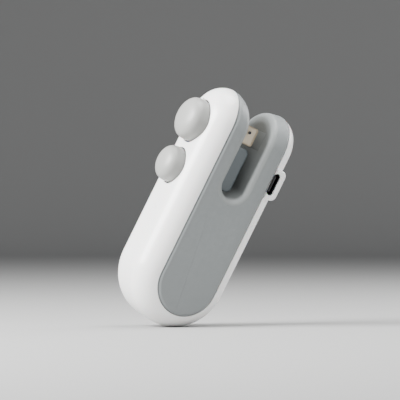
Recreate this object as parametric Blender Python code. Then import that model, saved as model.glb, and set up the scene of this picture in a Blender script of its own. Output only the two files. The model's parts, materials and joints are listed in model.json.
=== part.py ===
"""Handheld bag heat sealer with a film cutter.

A chunky pill stands on its round end, +Z up along its length. A slot runs down
from the top between two fingers. The large button (towards -X) pushes a heater
across the slot against an anvil pad, and the small one pushes a blade out of
its guard. A white shell wraps the front, the round end and the back of a grey
case made of two halves, which close along Y = 0.

The frame's origin is the middle of the bounding box, at its lowest height.
"""

from math import cos, pi, radians, sin, sqrt

import bmesh
import bpy
from mathutils import Matrix, Vector

# Driving dimensions, in metres, measured from the slot's middle plane (X = 0)
LENGTH = 0.096
FRONT_X = -0.0212
BACK_X = 0.0194
FRONT_TIP_R = 0.0089
BACK_TIP_R = 0.0052
BACK_TIP_DROP = 0.0008
CASE_HALF_WIDTH = 0.0145
SHELL_HALF_WIDTH = 0.0142
SHELL_CORNER = 0.0085
SHELL_WALL = 0.002
CASE_WALL = 0.0016
CASE_ROOM_TOP_Z = 0.0852
ARCH_R = 0.0145

# Seam between the white shell and the grey case
SEAM_FRONT_X = -0.0128
SEAM_BACK_X = 0.0138
SEAM_R = (SEAM_BACK_X - SEAM_FRONT_X) / 2
SEAM_MID_X = (SEAM_BACK_X + SEAM_FRONT_X) / 2
SEAM_ARC_Z = 0.01945

# Slot and its liner
SLOT_R = 0.0052
SLOT_ARC_Z = 0.062
LINER_WALL = 0.0022
LINER_TOP_Z = 0.0934
LINER_HALF_WIDTH = 0.0139

# Buttons: height of the axis, radius, reach beyond the front, travel
SEAL_Z = 0.0787
SEAL_R = 0.0087
SEAL_REACH = 0.007
SEAL_TRAVEL = 0.003
SEAL_STEM_R = 0.0022
CUT_Z = 0.0593
CUT_R = 0.0073
CUT_REACH = 0.0065
CUT_TRAVEL = 0.0032
CUT_STEM_R = 0.0018
CAP_FOOT_X = -0.0172
STEM_TOP_X = -0.0245
BUSH_FACE_X = -0.0136
BUSH_END_X = -0.0094

# Heater, anvil and blade guard, which stand in the slot
HEATER_Z = (0.0788, 0.0862)
HEATER_FACE_X = 0.0016
HEATER_HALF_WIDTH = 0.008
ANVIL_FACE_X = 0.0049
GUARD_Z = (0.0584, 0.0773)
GUARD_FACE_X = 0.0023
GUARD_ROOT_X = -0.0048
GUARD_HALF_WIDTH = 0.008
GUARD_WALL = 0.001
BLADE_Z = 0.068
BLADE_TIP_X = 0.0011
BLADE_HALF_LENGTH = 0.005
HOLDER_BACK_X = -0.0044
HOLDER_Z = (0.0600, 0.0746)

# Charging port, which opens towards -Y in a boss on the back
PORT_Z = 0.0695
PORT_X = 0.015
PORT_LENGTH = 0.0091
PORT_THICKNESS = 0.0026
PORT_MOUTH_Y = -0.0136
BOSS_FACE_Y = -0.0142
BOSS_X = (0.0135, 0.0186)
BOSS_HALF_LENGTH = 0.0066
BOSS_ROOT_Y = -0.0045
PORT_END_Y = -0.0064

# Power pack and boards
CELL_R = 0.008
CELL_Z = (0.0151, 0.0491)
CELL_X = 0.0
TRAY_REACH = 0.0093
TRAY_Z = (0.0195, 0.0455)
BOARD_X = 0.0092
BOARD_THICKNESS = 0.001
CONTROL_BOARD_Z = (0.0165, 0.0478)
CHARGE_BOARD_X = 0.0105
CHARGE_BOARD_Z = (0.0585, 0.0805)
CHARGE_BOARD_HALF_WIDTH = 0.0115
SWITCH_Z = (0.0664, 0.0712)

SCREW_R = 0.0008
SCREW_HEAD_R = 0.0015
SCREW_POST_R = 0.0024
SCREW_SEAT_Y = 0.0105
SCREW_TIP_Y = -0.0070
SCREWS = ((-0.0059, 0.0121), (0.0074, 0.0121), (-0.0086, 0.0525), (0.0108, 0.0525))

BUSH_R = 0.0030
RING_GROWTH = 0.0012
RING_WIDTH = 0.0006
GAP = 0.0003
BORE_GAP = 0.0004
ROUND_SIDES = 28
SMALL_SIDES = 14

FRAME_SHIFT_X = -(FRONT_X - SEAL_REACH + BACK_X) / 2


# ---------------------------------------------------------------- materials

def material(name, colour, roughness, metallic=0.0):
    """A plain Principled material."""
    finish = bpy.data.materials.new(name)
    finish.use_nodes = True
    shader = finish.node_tree.nodes["Principled BSDF"]
    shader.inputs["Base Color"].default_value = (*colour, 1.0)
    shader.inputs["Roughness"].default_value = roughness
    shader.inputs["Metallic"].default_value = metallic
    return finish


# ---------------------------------------------------------- geometry helpers

def arc(centre_x, centre_z, radius, start, end, steps):
    """Points of a round stretch in the X-Z plane, from start to end degrees."""
    angles = [radians(start + (end - start) * i / steps) for i in range(steps + 1)]
    return [(centre_x + radius * cos(a), centre_z + radius * sin(a)) for a in angles]


def to_object(name, bm, finish, parent):
    """Close a bmesh into a named object under a parent, with smooth round faces."""
    bmesh.ops.recalc_face_normals(bm, faces=bm.faces)
    mesh = bpy.data.meshes.new(name)
    bm.to_mesh(mesh)
    bm.free()
    mesh.materials.append(finish)
    mesh.shade_smooth()
    mesh.set_sharp_from_angle(angle=radians(35))
    piece = bpy.data.objects.new(name, mesh)
    bpy.context.scene.collection.objects.link(piece)
    piece.parent = parent
    return piece


def empty(name, location, parent=None):
    """An empty that carries the pieces of one moving body."""
    holder = bpy.data.objects.new(name, None)
    bpy.context.scene.collection.objects.link(holder)
    holder.location = location
    holder.parent = parent
    return holder


def prism(name, outline, low, high, finish, parent, along="Y"):
    """A closed outline extruded along one axis; its points give the other two, in order."""
    axis = "XYZ".index(along)
    step = Vector((0, 0, 0))
    step[axis] = high - low
    bm = bmesh.new()
    corners = []
    for point in outline:
        place = list(point)
        place.insert(axis, low)
        corners.append(bm.verts.new(place))
    grown = bmesh.ops.extrude_face_region(bm, geom=[bm.faces.new(corners)])["geom"]
    bmesh.ops.translate(bm, verts=[v for v in grown if isinstance(v, bmesh.types.BMVert)], vec=step)
    return to_object(name, bm, finish, parent)


def box(name, x_span, y_span, z_span, finish, parent, bevel=0.0):
    """A box between two corners, with its edges bevelled if asked."""
    bm = bmesh.new()
    spans = (x_span, y_span, z_span)
    size = [high - low for low, high in spans]
    middle = [(high + low) / 2 for low, high in spans]
    place = Matrix.Translation(middle) @ Matrix.Diagonal((*size, 1.0))
    bmesh.ops.create_cube(bm, size=1.0, matrix=place)
    if bevel:
        bmesh.ops.bevel(bm, geom=bm.edges[:], offset=bevel, segments=2, affect="EDGES", profile=0.5)
    return to_object(name, bm, finish, parent)


def turned(name, profile, z, finish, parent, sides=ROUND_SIDES, y=0.0):
    """A solid of revolution about an axis along X, from (x, radius) points."""
    bm = bmesh.new()
    rings = []
    for x, radius in profile:
        if radius:
            angles = [2 * pi * k / sides for k in range(sides)]
            rings.append([bm.verts.new((x, y + radius * cos(a), z + radius * sin(a))) for a in angles])
        else:
            rings.append([bm.verts.new((x, y, z))])
    for low, high in zip(rings, rings[1:]):
        join_rings(bm, low, high)
    for end in (rings[0], rings[-1]):
        if len(end) > 1:
            bm.faces.new(end)
    return to_object(name, bm, finish, parent)


def tube_turned(name, profile, z, finish, parent, sides):
    """A ring of revolution about an axis along X, from a closed (x, radius) profile."""
    bm = bmesh.new()
    rings = []
    for x, radius in profile:
        angles = [2 * pi * k / sides for k in range(sides)]
        rings.append([bm.verts.new((x, radius * cos(a), z + radius * sin(a))) for a in angles])
    for low, high in zip(rings, rings[1:] + rings[:1]):
        join_rings(bm, low, high)
    return to_object(name, bm, finish, parent)


def join_rings(bm, low, high):
    """Faces between two neighbouring rings, either of which may be one point."""
    count = max(len(low), len(high))
    for k in range(count):
        following = (k + 1) % count
        if len(low) == 1:
            bm.faces.new((low[0], high[k], high[following]))
        elif len(high) == 1:
            bm.faces.new((low[k], low[following], high[0]))
        else:
            bm.faces.new((low[k], low[following], high[following], high[k]))


def loft(name, rings, finish, parent):
    """A closed solid through a row of point rings that have the same count."""
    bm = bmesh.new()
    loops = [[bm.verts.new(point) for point in ring] for ring in rings]
    for low, high in zip(loops, loops[1:]):
        join_rings(bm, low, high)
    bm.faces.new(loops[0])
    bm.faces.new(loops[-1])
    return to_object(name, bm, finish, parent)


def combine(piece, tool, operation="DIFFERENCE"):
    """Cut one solid with another, or join or cross them; the tool stays hidden."""
    tool.hide_render = True
    tool.display_type = "WIRE"
    modifier = piece.modifiers.new(tool.name, "BOOLEAN")
    modifier.operation = operation
    modifier.solver = "EXACT"
    modifier.object = tool
    return piece


def bore(piece, x_span, radius, z, parent, sides=ROUND_SIDES):
    """A round hole along X through a piece."""
    tool = turned(piece.name + "_bore", [(x, radius) for x in x_span], z, None, parent, sides)
    return combine(piece, tool)


# ------------------------------------------------------------- white shell

def shell_ring(foot, crest, half_width, corner):
    """One cross-section of the shell: flat foot, rounded corners, flat crest."""
    outward = Vector((crest[0] - foot[0], 0, crest[1] - foot[1]))
    reach = outward.length
    outward.normalize()
    corner_y = min(corner, half_width)
    corner_reach = min(corner, reach)
    profile = [(half_width, 0.0)]
    for i in range(7):
        angle = radians(90 * i / 6)
        y = half_width - corner_y * (1 - cos(angle))
        profile.append((y, reach - corner_reach * (1 - sin(angle))))
    if reach - corner_reach < 1e-6:
        profile[0] = (half_width, -1e-4)
    profile += [(-y, d) for y, d in reversed(profile)]
    base = Vector((foot[0], 0, foot[1]))
    return [base + outward * d + Vector((0, y, 0)) for y, d in profile]


def crest_x(side, z, inset):
    """The outer face's X on an arm at height z, with its rounded tip."""
    if side == "front":
        outer, radius, top = FRONT_X + inset, FRONT_TIP_R, LENGTH - inset
        sign = -1
    else:
        outer, radius, top = BACK_X - inset, BACK_TIP_R, LENGTH - BACK_TIP_DROP - inset
        sign = 1
    radius -= inset
    rise = max(z - (top - radius), 0.0)
    return outer - sign * (radius - sqrt(max(radius ** 2 - rise ** 2, 0.0)))


def shell_body(name, inset, foot_depth, finish, parent):
    """The U of the shell, inset all round; foot_depth moves its inner face inwards."""
    half_width = SHELL_HALF_WIDTH - inset
    rings = []
    turns = [radians(a) for a in (84, 76, 66, 56, 45, 34, 22, 11, 0)]
    for side, order in (("front", turns), ("back", turns[::-1])):
        drop = BACK_TIP_DROP if side == "back" else 0.0
        seam = SEAM_FRONT_X + foot_depth if side == "front" else SEAM_BACK_X - foot_depth
        if side == "back":
            rings += shell_bottom(half_width, inset, foot_depth)
        for turn in order:
            z = LENGTH - drop - ARCH_R + (ARCH_R - inset) * sin(turn)
            crest = crest_x(side, z, inset)
            rings.append(shell_ring((seam, z), (crest, z), half_width * cos(turn), SHELL_CORNER - inset))
    return loft(name, rings, finish, parent)


def shell_bottom(half_width, inset, foot_depth):
    """Cross-sections round the bottom, from the front arm to the back arm."""
    outer_r = (BACK_X - FRONT_X) / 2
    outer_x = (BACK_X + FRONT_X) / 2
    steps = 18
    rings = []
    for i in range(steps + 1):
        angle = radians(180 + 180 * i / steps)
        foot = (SEAM_MID_X + (SEAM_R - foot_depth) * cos(angle),
                SEAM_ARC_Z + (SEAM_R - foot_depth) * sin(angle))
        crest = (outer_x + (outer_r - inset) * cos(angle), outer_r + (outer_r - inset) * sin(angle))
        rings.append(shell_ring(foot, crest, half_width, SHELL_CORNER - inset))
    return rings


def make_shell(finish, parent):
    """The white shell with its button bores and the boss for the port."""
    shell = shell_body("outer_shell", 0.0, 0.0, finish, parent)
    hollow = shell_body("shell_hollow", SHELL_WALL, 0.001, None, parent)
    combine(shell, hollow)
    boss = box("port_boss", BOSS_X, (BOSS_FACE_Y, BOSS_ROOT_Y),
               (PORT_Z - BOSS_HALF_LENGTH, PORT_Z + BOSS_HALF_LENGTH), None, parent, bevel=0.0016)
    combine(shell, boss, "UNION")
    trim = box("boss_trim", (0.0, SEAM_BACK_X), (-0.02, 0.0), (0.055, 0.085), None, parent)
    combine(shell, trim)
    port = port_solid("port_cut", 0.0003, BOSS_FACE_Y - 0.002, -0.003, parent)
    combine(shell, port)
    bore(shell, (FRONT_X - 0.003, BUSH_FACE_X), SEAL_R + BORE_GAP, SEAL_Z, parent)
    bore(shell, (FRONT_X - 0.003, BUSH_FACE_X), CUT_R + BORE_GAP, CUT_Z, parent)
    return shell


# --------------------------------------------------------------- grey case

def case_outline():
    """The case in side view: round bottom, two fingers, and the slot between."""
    slot_r = SLOT_R + LINER_WALL + GAP
    tip_r = 0.002
    front_x, back_x = SEAM_FRONT_X + GAP, SEAM_BACK_X - GAP
    front_top, back_top = LENGTH - 0.0004, LENGTH - BACK_TIP_DROP - 0.0002
    points = arc(SEAM_MID_X, SEAM_ARC_Z, SEAM_R - GAP, 180, 360, 20)
    points += [(back_x, back_top)]
    points += arc(slot_r + tip_r, back_top - tip_r, tip_r, 90, 180, 4)
    points += arc(0.0, SLOT_ARC_Z, slot_r, 0, -180, 14)
    points += arc(-slot_r - tip_r, front_top - tip_r, tip_r, 0, 90, 4)
    points += [(front_x, front_top)]
    return points


def arch_tool(name, half_width, rise, parent):
    """A prism along X whose upper end is an arch of this half-width and rise."""
    spring_z = LENGTH - ARCH_R
    wide = half_width + 0.001
    outline = [(wide, -0.002), (wide, spring_z)]
    for i in range(23):
        angle = pi * i / 22
        outline.append((half_width * cos(angle), spring_z + rise * sin(angle)))
    outline += [(-wide, spring_z), (-wide, -0.002)]
    return prism(name, outline, -0.03, 0.03, None, parent, along="X")


def make_case_half(name, side, finish, parent):
    """One half of the case; side is -1 near (towards -Y) and +1 far."""
    inner, outer = sorted((side * GAP / 2, side * CASE_HALF_WIDTH))
    half = prism(name, case_outline(), inner, outer, finish, parent)
    combine(half, arch_tool(name + "_arch", ARCH_R, ARCH_R, parent), "INTERSECT")
    combine(half, case_hollow(name, side, parent))
    for x, z in SCREWS:
        combine(half, screw_boss(f"{name}_boss_{z:.4f}_{x:.4f}", side, x, z, parent), "UNION")
        combine(half, screw_hole(f"{name}_hole_{z:.4f}_{x:.4f}", side, x, z, parent))
    for z in (SEAL_Z, CUT_Z):
        bore(half, (SEAM_FRONT_X - 0.001, SEAM_FRONT_X + 0.004), BUSH_R + GAP, z, parent, SMALL_SIDES)
    reach = CHARGE_BOARD_HALF_WIDTH + 0.0007
    window = box(name + "_window", (CHARGE_BOARD_X + 0.0005, SEAM_BACK_X + 0.002), (-reach, reach),
                 (CHARGE_BOARD_Z[0] - 0.001, CHARGE_BOARD_Z[1] + 0.001), None, parent)
    combine(half, window)
    return half


def case_hollow(name, side, parent):
    """The room inside one case half, open towards the other half and the slot."""
    radius = SEAM_R - GAP - CASE_WALL
    left, right = SEAM_MID_X - radius, SEAM_MID_X + radius
    outline = arc(SEAM_MID_X, SEAM_ARC_Z, radius, 180, 360, 14)
    outline += [(right, CASE_ROOM_TOP_Z), (left, CASE_ROOM_TOP_Z)]
    spans = sorted((-side * 0.001, side * (CASE_HALF_WIDTH - CASE_WALL)))
    tool = prism(name + "_hollow", outline, *spans, None, parent)
    return tool


def screw_boss(name, side, x, z, parent):
    """A round post inside a case half that holds a screw."""
    spans = sorted((side * 0.0004, side * (CASE_HALF_WIDTH - CASE_WALL / 2)))
    return post(name, x, z, SCREW_POST_R, spans, parent)


def screw_hole(name, side, x, z, parent):
    """The screw's hole: clear and counterbored on the far side, blind on the near."""
    profile = [(-0.001, SCREW_R + GAP), (SCREW_SEAT_Y, SCREW_R + GAP), (SCREW_SEAT_Y, SCREW_HEAD_R + GAP),
               (0.016, SCREW_HEAD_R + GAP)]
    if side < 0:
        profile = [(SCREW_TIP_Y - 0.001, SCREW_R + GAP), (0.001, SCREW_R + GAP)]
    return turned_y(name, profile, x, z, None, parent)


def turned_y(name, profile, x, z, finish, parent, sides=SMALL_SIDES):
    """A solid of revolution about an axis along Y, from (y, radius) points."""
    piece = turned(name, [(-y, radius) for y, radius in profile], 0.0, finish, parent, sides)
    piece.data.transform(Matrix.Translation((x, 0, z)) @ Matrix.Rotation(-pi / 2, 4, "Z"))
    return piece


def post(name, x, z, radius, y_span, parent):
    """A plain round post along Y."""
    return turned_y(name, [(y, radius) for y in y_span], x, z, None, parent)


def make_screw(index, x, z, finish, parent):
    """A pan-head screw that goes in from the far side."""
    head_y = SCREW_SEAT_Y + GAP
    profile = [(SCREW_TIP_Y, SCREW_R * 0.6), (SCREW_TIP_Y + 0.0008, SCREW_R), (head_y, SCREW_R),
               (head_y, SCREW_HEAD_R), (head_y + 0.0013, SCREW_HEAD_R), (head_y + 0.0017, SCREW_HEAD_R * 0.7)]
    return turned_y(f"case_screw_{index}", profile, x, z, finish, parent)


def make_liner(finish, parent):
    """The lip that lines the slot, a U with arched ends."""
    outer_r = SLOT_R + LINER_WALL
    tip_r = LINER_WALL * 0.45
    middle = SLOT_R + LINER_WALL / 2
    points = arc(middle, LINER_TOP_Z - tip_r, LINER_WALL / 2, 0, 180, 6)
    points += arc(0.0, SLOT_ARC_Z, SLOT_R, 0, -180, 14)
    points += arc(-middle, LINER_TOP_Z - tip_r, LINER_WALL / 2, 0, 180, 6)
    points += arc(0.0, SLOT_ARC_Z, outer_r, 180, 360, 14)
    liner = prism("slot_liner", points, -LINER_HALF_WIDTH, LINER_HALF_WIDTH, finish, parent)
    arch = arch_tool("liner_arch", LINER_HALF_WIDTH + 0.0001, LINER_TOP_Z - (LENGTH - ARCH_R), parent)
    combine(liner, arch, "INTERSECT")
    for z, stem_r in ((SEAL_Z, SEAL_STEM_R), (CUT_Z, CUT_STEM_R)):
        bore(liner, (-0.012, -0.001), stem_r + RING_GROWTH + GAP, z, parent, SMALL_SIDES)
    pocket = box("anvil_pocket", (0.004, 0.0064), (-0.0083, 0.0083),
                 (HEATER_Z[0] - GAP, HEATER_Z[1] + GAP), None, parent)
    return combine(liner, pocket)


def make_anvil(finish, parent):
    """The silicone pad that the heater presses the film against."""
    return box("anvil_pad", (ANVIL_FACE_X, 0.0061), (-0.008, 0.008), HEATER_Z, finish, parent, bevel=0.0002)


# ----------------------------------------------------------------- buttons

def cap_profile(radius, reach):
    """A barrel cap with a domed top and a hollow underside, as (x, radius) points."""
    top = FRONT_X - reach
    shoulder = radius * 0.93
    dome = 0.0024
    outer = [(CAP_FOOT_X, radius), (FRONT_X - 0.0005, radius)]
    outer += [(FRONT_X - reach * 0.4, radius * 0.985)]
    for i in range(6):
        angle = radians(90 * i / 5)
        outer.append((top + 0.0008 + dome * (1 - sin(angle)), shoulder - dome * (1 - cos(angle))))
    outer += [(top + 0.0002, shoulder * 0.45), (top, 0.0)]
    inner = [(STEM_TOP_X - GAP, 0.0), (STEM_TOP_X - GAP, radius - 0.0022), (CAP_FOOT_X, radius - 0.0016)]
    return inner + outer


def make_cap(name, z, radius, reach, finish, parent):
    """A domed button cap, closed at the top and open below."""
    return turned(name, cap_profile(radius, reach), z, finish, parent)


def make_spring(name, z, radius, finish, parent):
    """The coil that pushes a button back, drawn at its rest length."""
    wire = 0.00035
    start, end = STEM_TOP_X + wire + GAP, BUSH_FACE_X - wire - GAP
    turns, steps_per_turn = 5, 12
    count = turns * steps_per_turn
    curve = bpy.data.curves.new(name, "CURVE")
    curve.dimensions = "3D"
    curve.bevel_depth = wire
    curve.bevel_resolution = 0
    curve.use_fill_caps = True
    spline = curve.splines.new("POLY")
    spline.points.add(count)
    for i, point in enumerate(spline.points):
        angle = 2 * pi * i / steps_per_turn
        x = start + (end - start) * i / count
        point.co = (x, radius * cos(angle), z + radius * sin(angle), 1.0)
    curve.materials.append(finish)
    coil = bpy.data.objects.new(name, curve)
    bpy.context.scene.collection.objects.link(coil)
    coil.parent = parent
    return coil


def make_bush(name, z, stem_r, finish, parent):
    """The flanged bush that guides a stem through the case's front wall."""
    hole = stem_r + 0.00006
    flange_r, flange_x = BUSH_R + 0.0022, BUSH_FACE_X + 0.0010
    profile = [(BUSH_FACE_X, hole), (BUSH_FACE_X, flange_r), (flange_x, flange_r),
               (flange_x, BUSH_R), (BUSH_END_X, BUSH_R), (BUSH_END_X, hole)]
    return tube_turned(name, profile, z, finish, parent, SMALL_SIDES)


def make_ring(name, z, stem_r, finish, parent):
    """The ring on a stem that stops it behind the bush."""
    start = BUSH_END_X + GAP
    end = start + RING_WIDTH
    inner, outer = stem_r - 0.0004, stem_r + RING_GROWTH
    profile = [(start, inner), (start, outer), (end, outer), (end, inner)]
    return tube_turned(name, profile, z, finish, parent, SMALL_SIDES)


def make_stem(name, z, stem_r, end_x, finish, parent):
    """A stem with a groove for its ring."""
    ring = BUSH_END_X + GAP
    groove = stem_r - 0.0007
    profile = [(STEM_TOP_X, stem_r + 0.001), (STEM_TOP_X + 0.0012, stem_r + 0.001),
               (STEM_TOP_X + 0.0012, stem_r), (ring - GAP, stem_r), (ring - GAP, groove),
               (ring + RING_WIDTH + GAP, groove), (ring + RING_WIDTH + GAP, stem_r), (end_x, stem_r)]
    return turned(name, profile, z, finish, parent, SMALL_SIDES)


# ------------------------------------------------------- heater and cutter

def make_heater(finishes, parent):
    """The carrier, the heating strip, its cloth cover and the rivet of the cloth."""
    low, high = HEATER_Z
    cloth = 0.0004
    width = (-HEATER_HALF_WIDTH, HEATER_HALF_WIDTH)
    cover = box("heater_cloth", (-0.0046, HEATER_FACE_X), width, (low, high), finishes["cloth"], parent)
    core = box("cloth_core", (-0.006, HEATER_FACE_X - cloth), (-0.01, 0.01),
               (low + cloth, high - cloth), None, parent)
    combine(cover, core)
    inside = (low + cloth + GAP, high - cloth - GAP)
    narrow = (-HEATER_HALF_WIDTH + 0.0003, HEATER_HALF_WIDTH - 0.0003)
    box("heater_carrier", (-0.0049, -0.0004), narrow, inside, finishes["ceramic"], parent, bevel=0.0003)
    box("heating_element", (-0.0001, HEATER_FACE_X - cloth - GAP), narrow,
        (HEATER_Z[0] + 0.0022, HEATER_Z[1] - 0.0022), finishes["nichrome"], parent)
    rivet = [(-HEATER_HALF_WIDTH - 0.0005, 0.00075), (-HEATER_HALF_WIDTH, 0.00095)]
    turned_y("heater_rivet", rivet, -0.0016, (low + high) / 2 + 0.0012, finishes["dark_steel"], parent)


def make_guard(finish, parent):
    """The dark bar that hides the blade, hollow and open towards the front finger."""
    low, high = GUARD_Z
    span = (GUARD_ROOT_X, GUARD_FACE_X)
    guard = box("blade_guard", span, (-GUARD_HALF_WIDTH, GUARD_HALF_WIDTH), GUARD_Z, finish, parent, 0.0011)
    round_tool = prism("guard_ends", guard_outline(), -0.01, 0.01, None, parent)
    combine(guard, round_tool, "INTERSECT")
    room = box("guard_room", (-0.007, GUARD_FACE_X - GUARD_WALL), (-0.0068, 0.0068),
               (HOLDER_Z[0] - GAP, HOLDER_Z[1] + 0.0005), None, parent)
    combine(guard, room)
    slit = box("guard_slit", (-0.001, 0.003), (-0.0058, 0.0058), (BLADE_Z - 0.0006, BLADE_Z + 0.0006),
               None, parent)
    combine(guard, slit)
    bore(guard, (-0.006, 0.0), SEAL_STEM_R + BORE_GAP, SEAL_Z, parent, SMALL_SIDES)
    return bore(guard, (-0.006, 0.0), CUT_STEM_R + BORE_GAP, CUT_Z, parent, SMALL_SIDES)


def guard_outline():
    """The guard in side view: its root follows the slot's wall, and its free side has round ends."""
    low, high = GUARD_Z
    radius = 0.0024
    back = GUARD_FACE_X
    points = [(GUARD_ROOT_X, high)]
    points += arc(0.0, SLOT_ARC_Z, -GUARD_ROOT_X, 180, 228, 5)
    points += arc(back - radius, low + radius, radius, -90, 0, 5)
    points += arc(back - radius, high - radius, radius, 0, 90, 5)
    return points


def make_cutter(finishes, parent):
    """The holder that the small button's stem pushes, and the blade in it."""
    front = GUARD_FACE_X - GUARD_WALL - GAP - CUT_TRAVEL
    box("blade_holder", (HOLDER_BACK_X, front), (-0.006, 0.006), HOLDER_Z, finishes["nylon"], parent,
        bevel=0.0003)
    root, shoulder, tip = front + GAP, BLADE_TIP_X - 0.0016, BLADE_TIP_X
    side, nose = BLADE_HALF_LENGTH, 0.0005
    outline = [(root, -side), (shoulder, -side), (tip, -nose), (tip, nose), (shoulder, side), (root, side)]
    prism("cutter_blade", outline, BLADE_Z - 0.00025, BLADE_Z + 0.00025, finishes["steel"], parent, along="Z")


# -------------------------------------------------------- port and electrics

def port_solid(name, grow, y_low, y_high, parent, finish=None):
    """A bar along Y with the rounded section of the charging port."""
    radius = PORT_THICKNESS / 2 + grow
    flat = PORT_LENGTH / 2 + grow - radius
    outline = arc(PORT_X, PORT_Z + flat, radius, 0, 180, 8)
    outline += arc(PORT_X, PORT_Z - flat, radius, 180, 360, 8)
    return prism(name, outline, y_low, y_high, finish, parent)


def make_port(finishes, parent):
    """The receptacle's metal sleeve and the contact tongue inside it."""
    sleeve = port_solid("usb_receptacle", 0.0, PORT_MOUTH_Y, PORT_END_Y, parent, finishes["dark_steel"])
    room = port_solid("port_room", -0.0004, PORT_MOUTH_Y - 0.001, PORT_END_Y - 0.0008, parent)
    combine(sleeve, room)
    box("usb_tongue", (PORT_X - 0.00035, PORT_X + 0.00035), (PORT_MOUTH_Y + 0.0008, PORT_END_Y - 0.0011),
        (PORT_Z - 0.0033, PORT_Z + 0.0033), finishes["nylon"], parent)


def make_power(finishes, parent):
    """The cell, its tray and contacts, and the lead from the contact to the board."""
    low, high = CELL_Z
    cell = turned("battery_cell", [(low, CELL_R - 0.0004), (low + 0.0004, CELL_R), (high - 0.0004, CELL_R),
                                   (high, CELL_R - 0.0004), (high, 0.0028), (high + 0.0008, 0.0026)],
                  0.0, finishes["cell"], parent, sides=24)
    cell.data.transform(Matrix.Translation((CELL_X, 0, 0)) @ Matrix.Rotation(-pi / 2, 4, "Y"))
    tray = box("battery_tray", (CELL_X - TRAY_REACH, CELL_X + 0.002), (-0.0112, 0.0112), TRAY_Z,
               finishes["nylon"], parent)
    trough = turned("tray_trough", [(0.015, CELL_R + GAP), (0.05, CELL_R + GAP)], 0.0, None, parent, sides=24)
    trough.data.transform(Matrix.Translation((CELL_X, 0, 0)) @ Matrix.Rotation(-pi / 2, 4, "Y"))
    combine(tray, trough)
    for name, z in (("battery_contact_lower", low - 0.0011), ("battery_contact_upper", high + 0.0012)):
        box(name, (CELL_X - 0.003, CELL_X + 0.003), (-0.0035, 0.0035), (z, z + 0.0006),
            finishes["steel"], parent)


def make_boards(finishes, parent):
    """Control board beside the cell, charge board behind the slot, and their parts."""
    back = BOARD_X + BOARD_THICKNESS
    box("control_board", (BOARD_X, back), (-0.0095, 0.0095), CONTROL_BOARD_Z, finishes["board"], parent)
    box("boost_inductor", (back + GAP, back + 0.0016), (-0.003, 0.003), (0.022, 0.028),
        finishes["dark_steel"], parent, bevel=0.0003)
    box("thermal_fuse", (back + GAP, back + 0.0014), (-0.0012, 0.0012), (0.034, 0.041),
        finishes["chip"], parent, bevel=0.0002)
    rear = CHARGE_BOARD_X + BOARD_THICKNESS
    box("charge_board", (CHARGE_BOARD_X, rear), (-CHARGE_BOARD_HALF_WIDTH, CHARGE_BOARD_HALF_WIDTH),
        CHARGE_BOARD_Z, finishes["board"], parent)
    box("charge_chip", (rear + GAP, rear + 0.0012), (0.001, 0.006), (0.0665, 0.0715),
        finishes["chip"], parent, bevel=0.0001)
    pressed_foot = CAP_FOOT_X + max(SEAL_TRAVEL, CUT_TRAVEL)
    box("seal_switch", (pressed_foot + BORE_GAP, SEAM_FRONT_X), (-0.0035, 0.0035), SWITCH_Z,
        finishes["chip"], parent, bevel=0.0002)


def make_lead(finish, parent):
    """The lead between the two boards, clipped along the case's back wall."""
    box("board_lead", (BOARD_X - 0.0018, BOARD_X - 0.0011), (0.003, 0.0055),
        (CONTROL_BOARD_Z[1] + GAP, CHARGE_BOARD_Z[0] - GAP), finish, parent)


# ---------------------------------------------------------------- assembly

def clear_scene():
    """Remove whatever the scene starts with."""
    for item in list(bpy.data.objects):
        bpy.data.objects.remove(item, do_unlink=True)


def make_finishes():
    """Each material, by the name of its finish."""
    return {
        "white": material("white_gloss", (0.86, 0.86, 0.84), 0.30),
        "grey": material("grey_satin", (0.33, 0.355, 0.36), 0.50),
        "lip": material("grey_lip", (0.45, 0.47, 0.47), 0.55),
        "button": material("button_satin", (0.52, 0.52, 0.50), 0.45),
        "cloth": material("glass_cloth", (0.62, 0.52, 0.38), 0.60),
        "ceramic": material("heater_carrier", (0.70, 0.66, 0.58), 0.60),
        "nichrome": material("heating_strip", (0.42, 0.40, 0.38), 0.35, 1.0),
        "silicone": material("silicone_pad", (0.60, 0.60, 0.58), 0.70),
        "guard": material("guard_dark", (0.10, 0.13, 0.15), 0.35),
        "steel": material("bright_steel", (0.70, 0.70, 0.70), 0.25, 1.0),
        "dark_steel": material("dark_steel", (0.05, 0.05, 0.05), 0.35, 1.0),
        "nylon": material("dark_nylon", (0.06, 0.06, 0.06), 0.55),
        "brass": material("brass_bush", (0.72, 0.55, 0.26), 0.30, 1.0),
        "cell": material("cell_wrap", (0.08, 0.24, 0.45), 0.40),
        "board": material("board_green", (0.03, 0.18, 0.09), 0.45),
        "chip": material("chip_black", (0.03, 0.03, 0.03), 0.50),
        "lead": material("lead_red", (0.45, 0.05, 0.04), 0.50),
    }


def make_seal_body(finishes, origin):
    """The large button and the heater, which slide together along +X."""
    holder = empty("seal_slide_axis", (0, 0, SEAL_Z), origin)
    body = empty("seal_pieces", (0, 0, -SEAL_Z), holder)
    make_cap("seal_button_cap", SEAL_Z, SEAL_R, SEAL_REACH, finishes["button"], body)
    make_stem("seal_button_stem", SEAL_Z, SEAL_STEM_R, GUARD_ROOT_X - 0.0005, finishes["steel"], body)
    make_ring("seal_retaining_ring", SEAL_Z, SEAL_STEM_R, finishes["steel"], body)
    make_spring("seal_return_spring", SEAL_Z, SEAL_STEM_R + 0.0022, finishes["steel"], body)
    make_heater(finishes, body)


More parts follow.
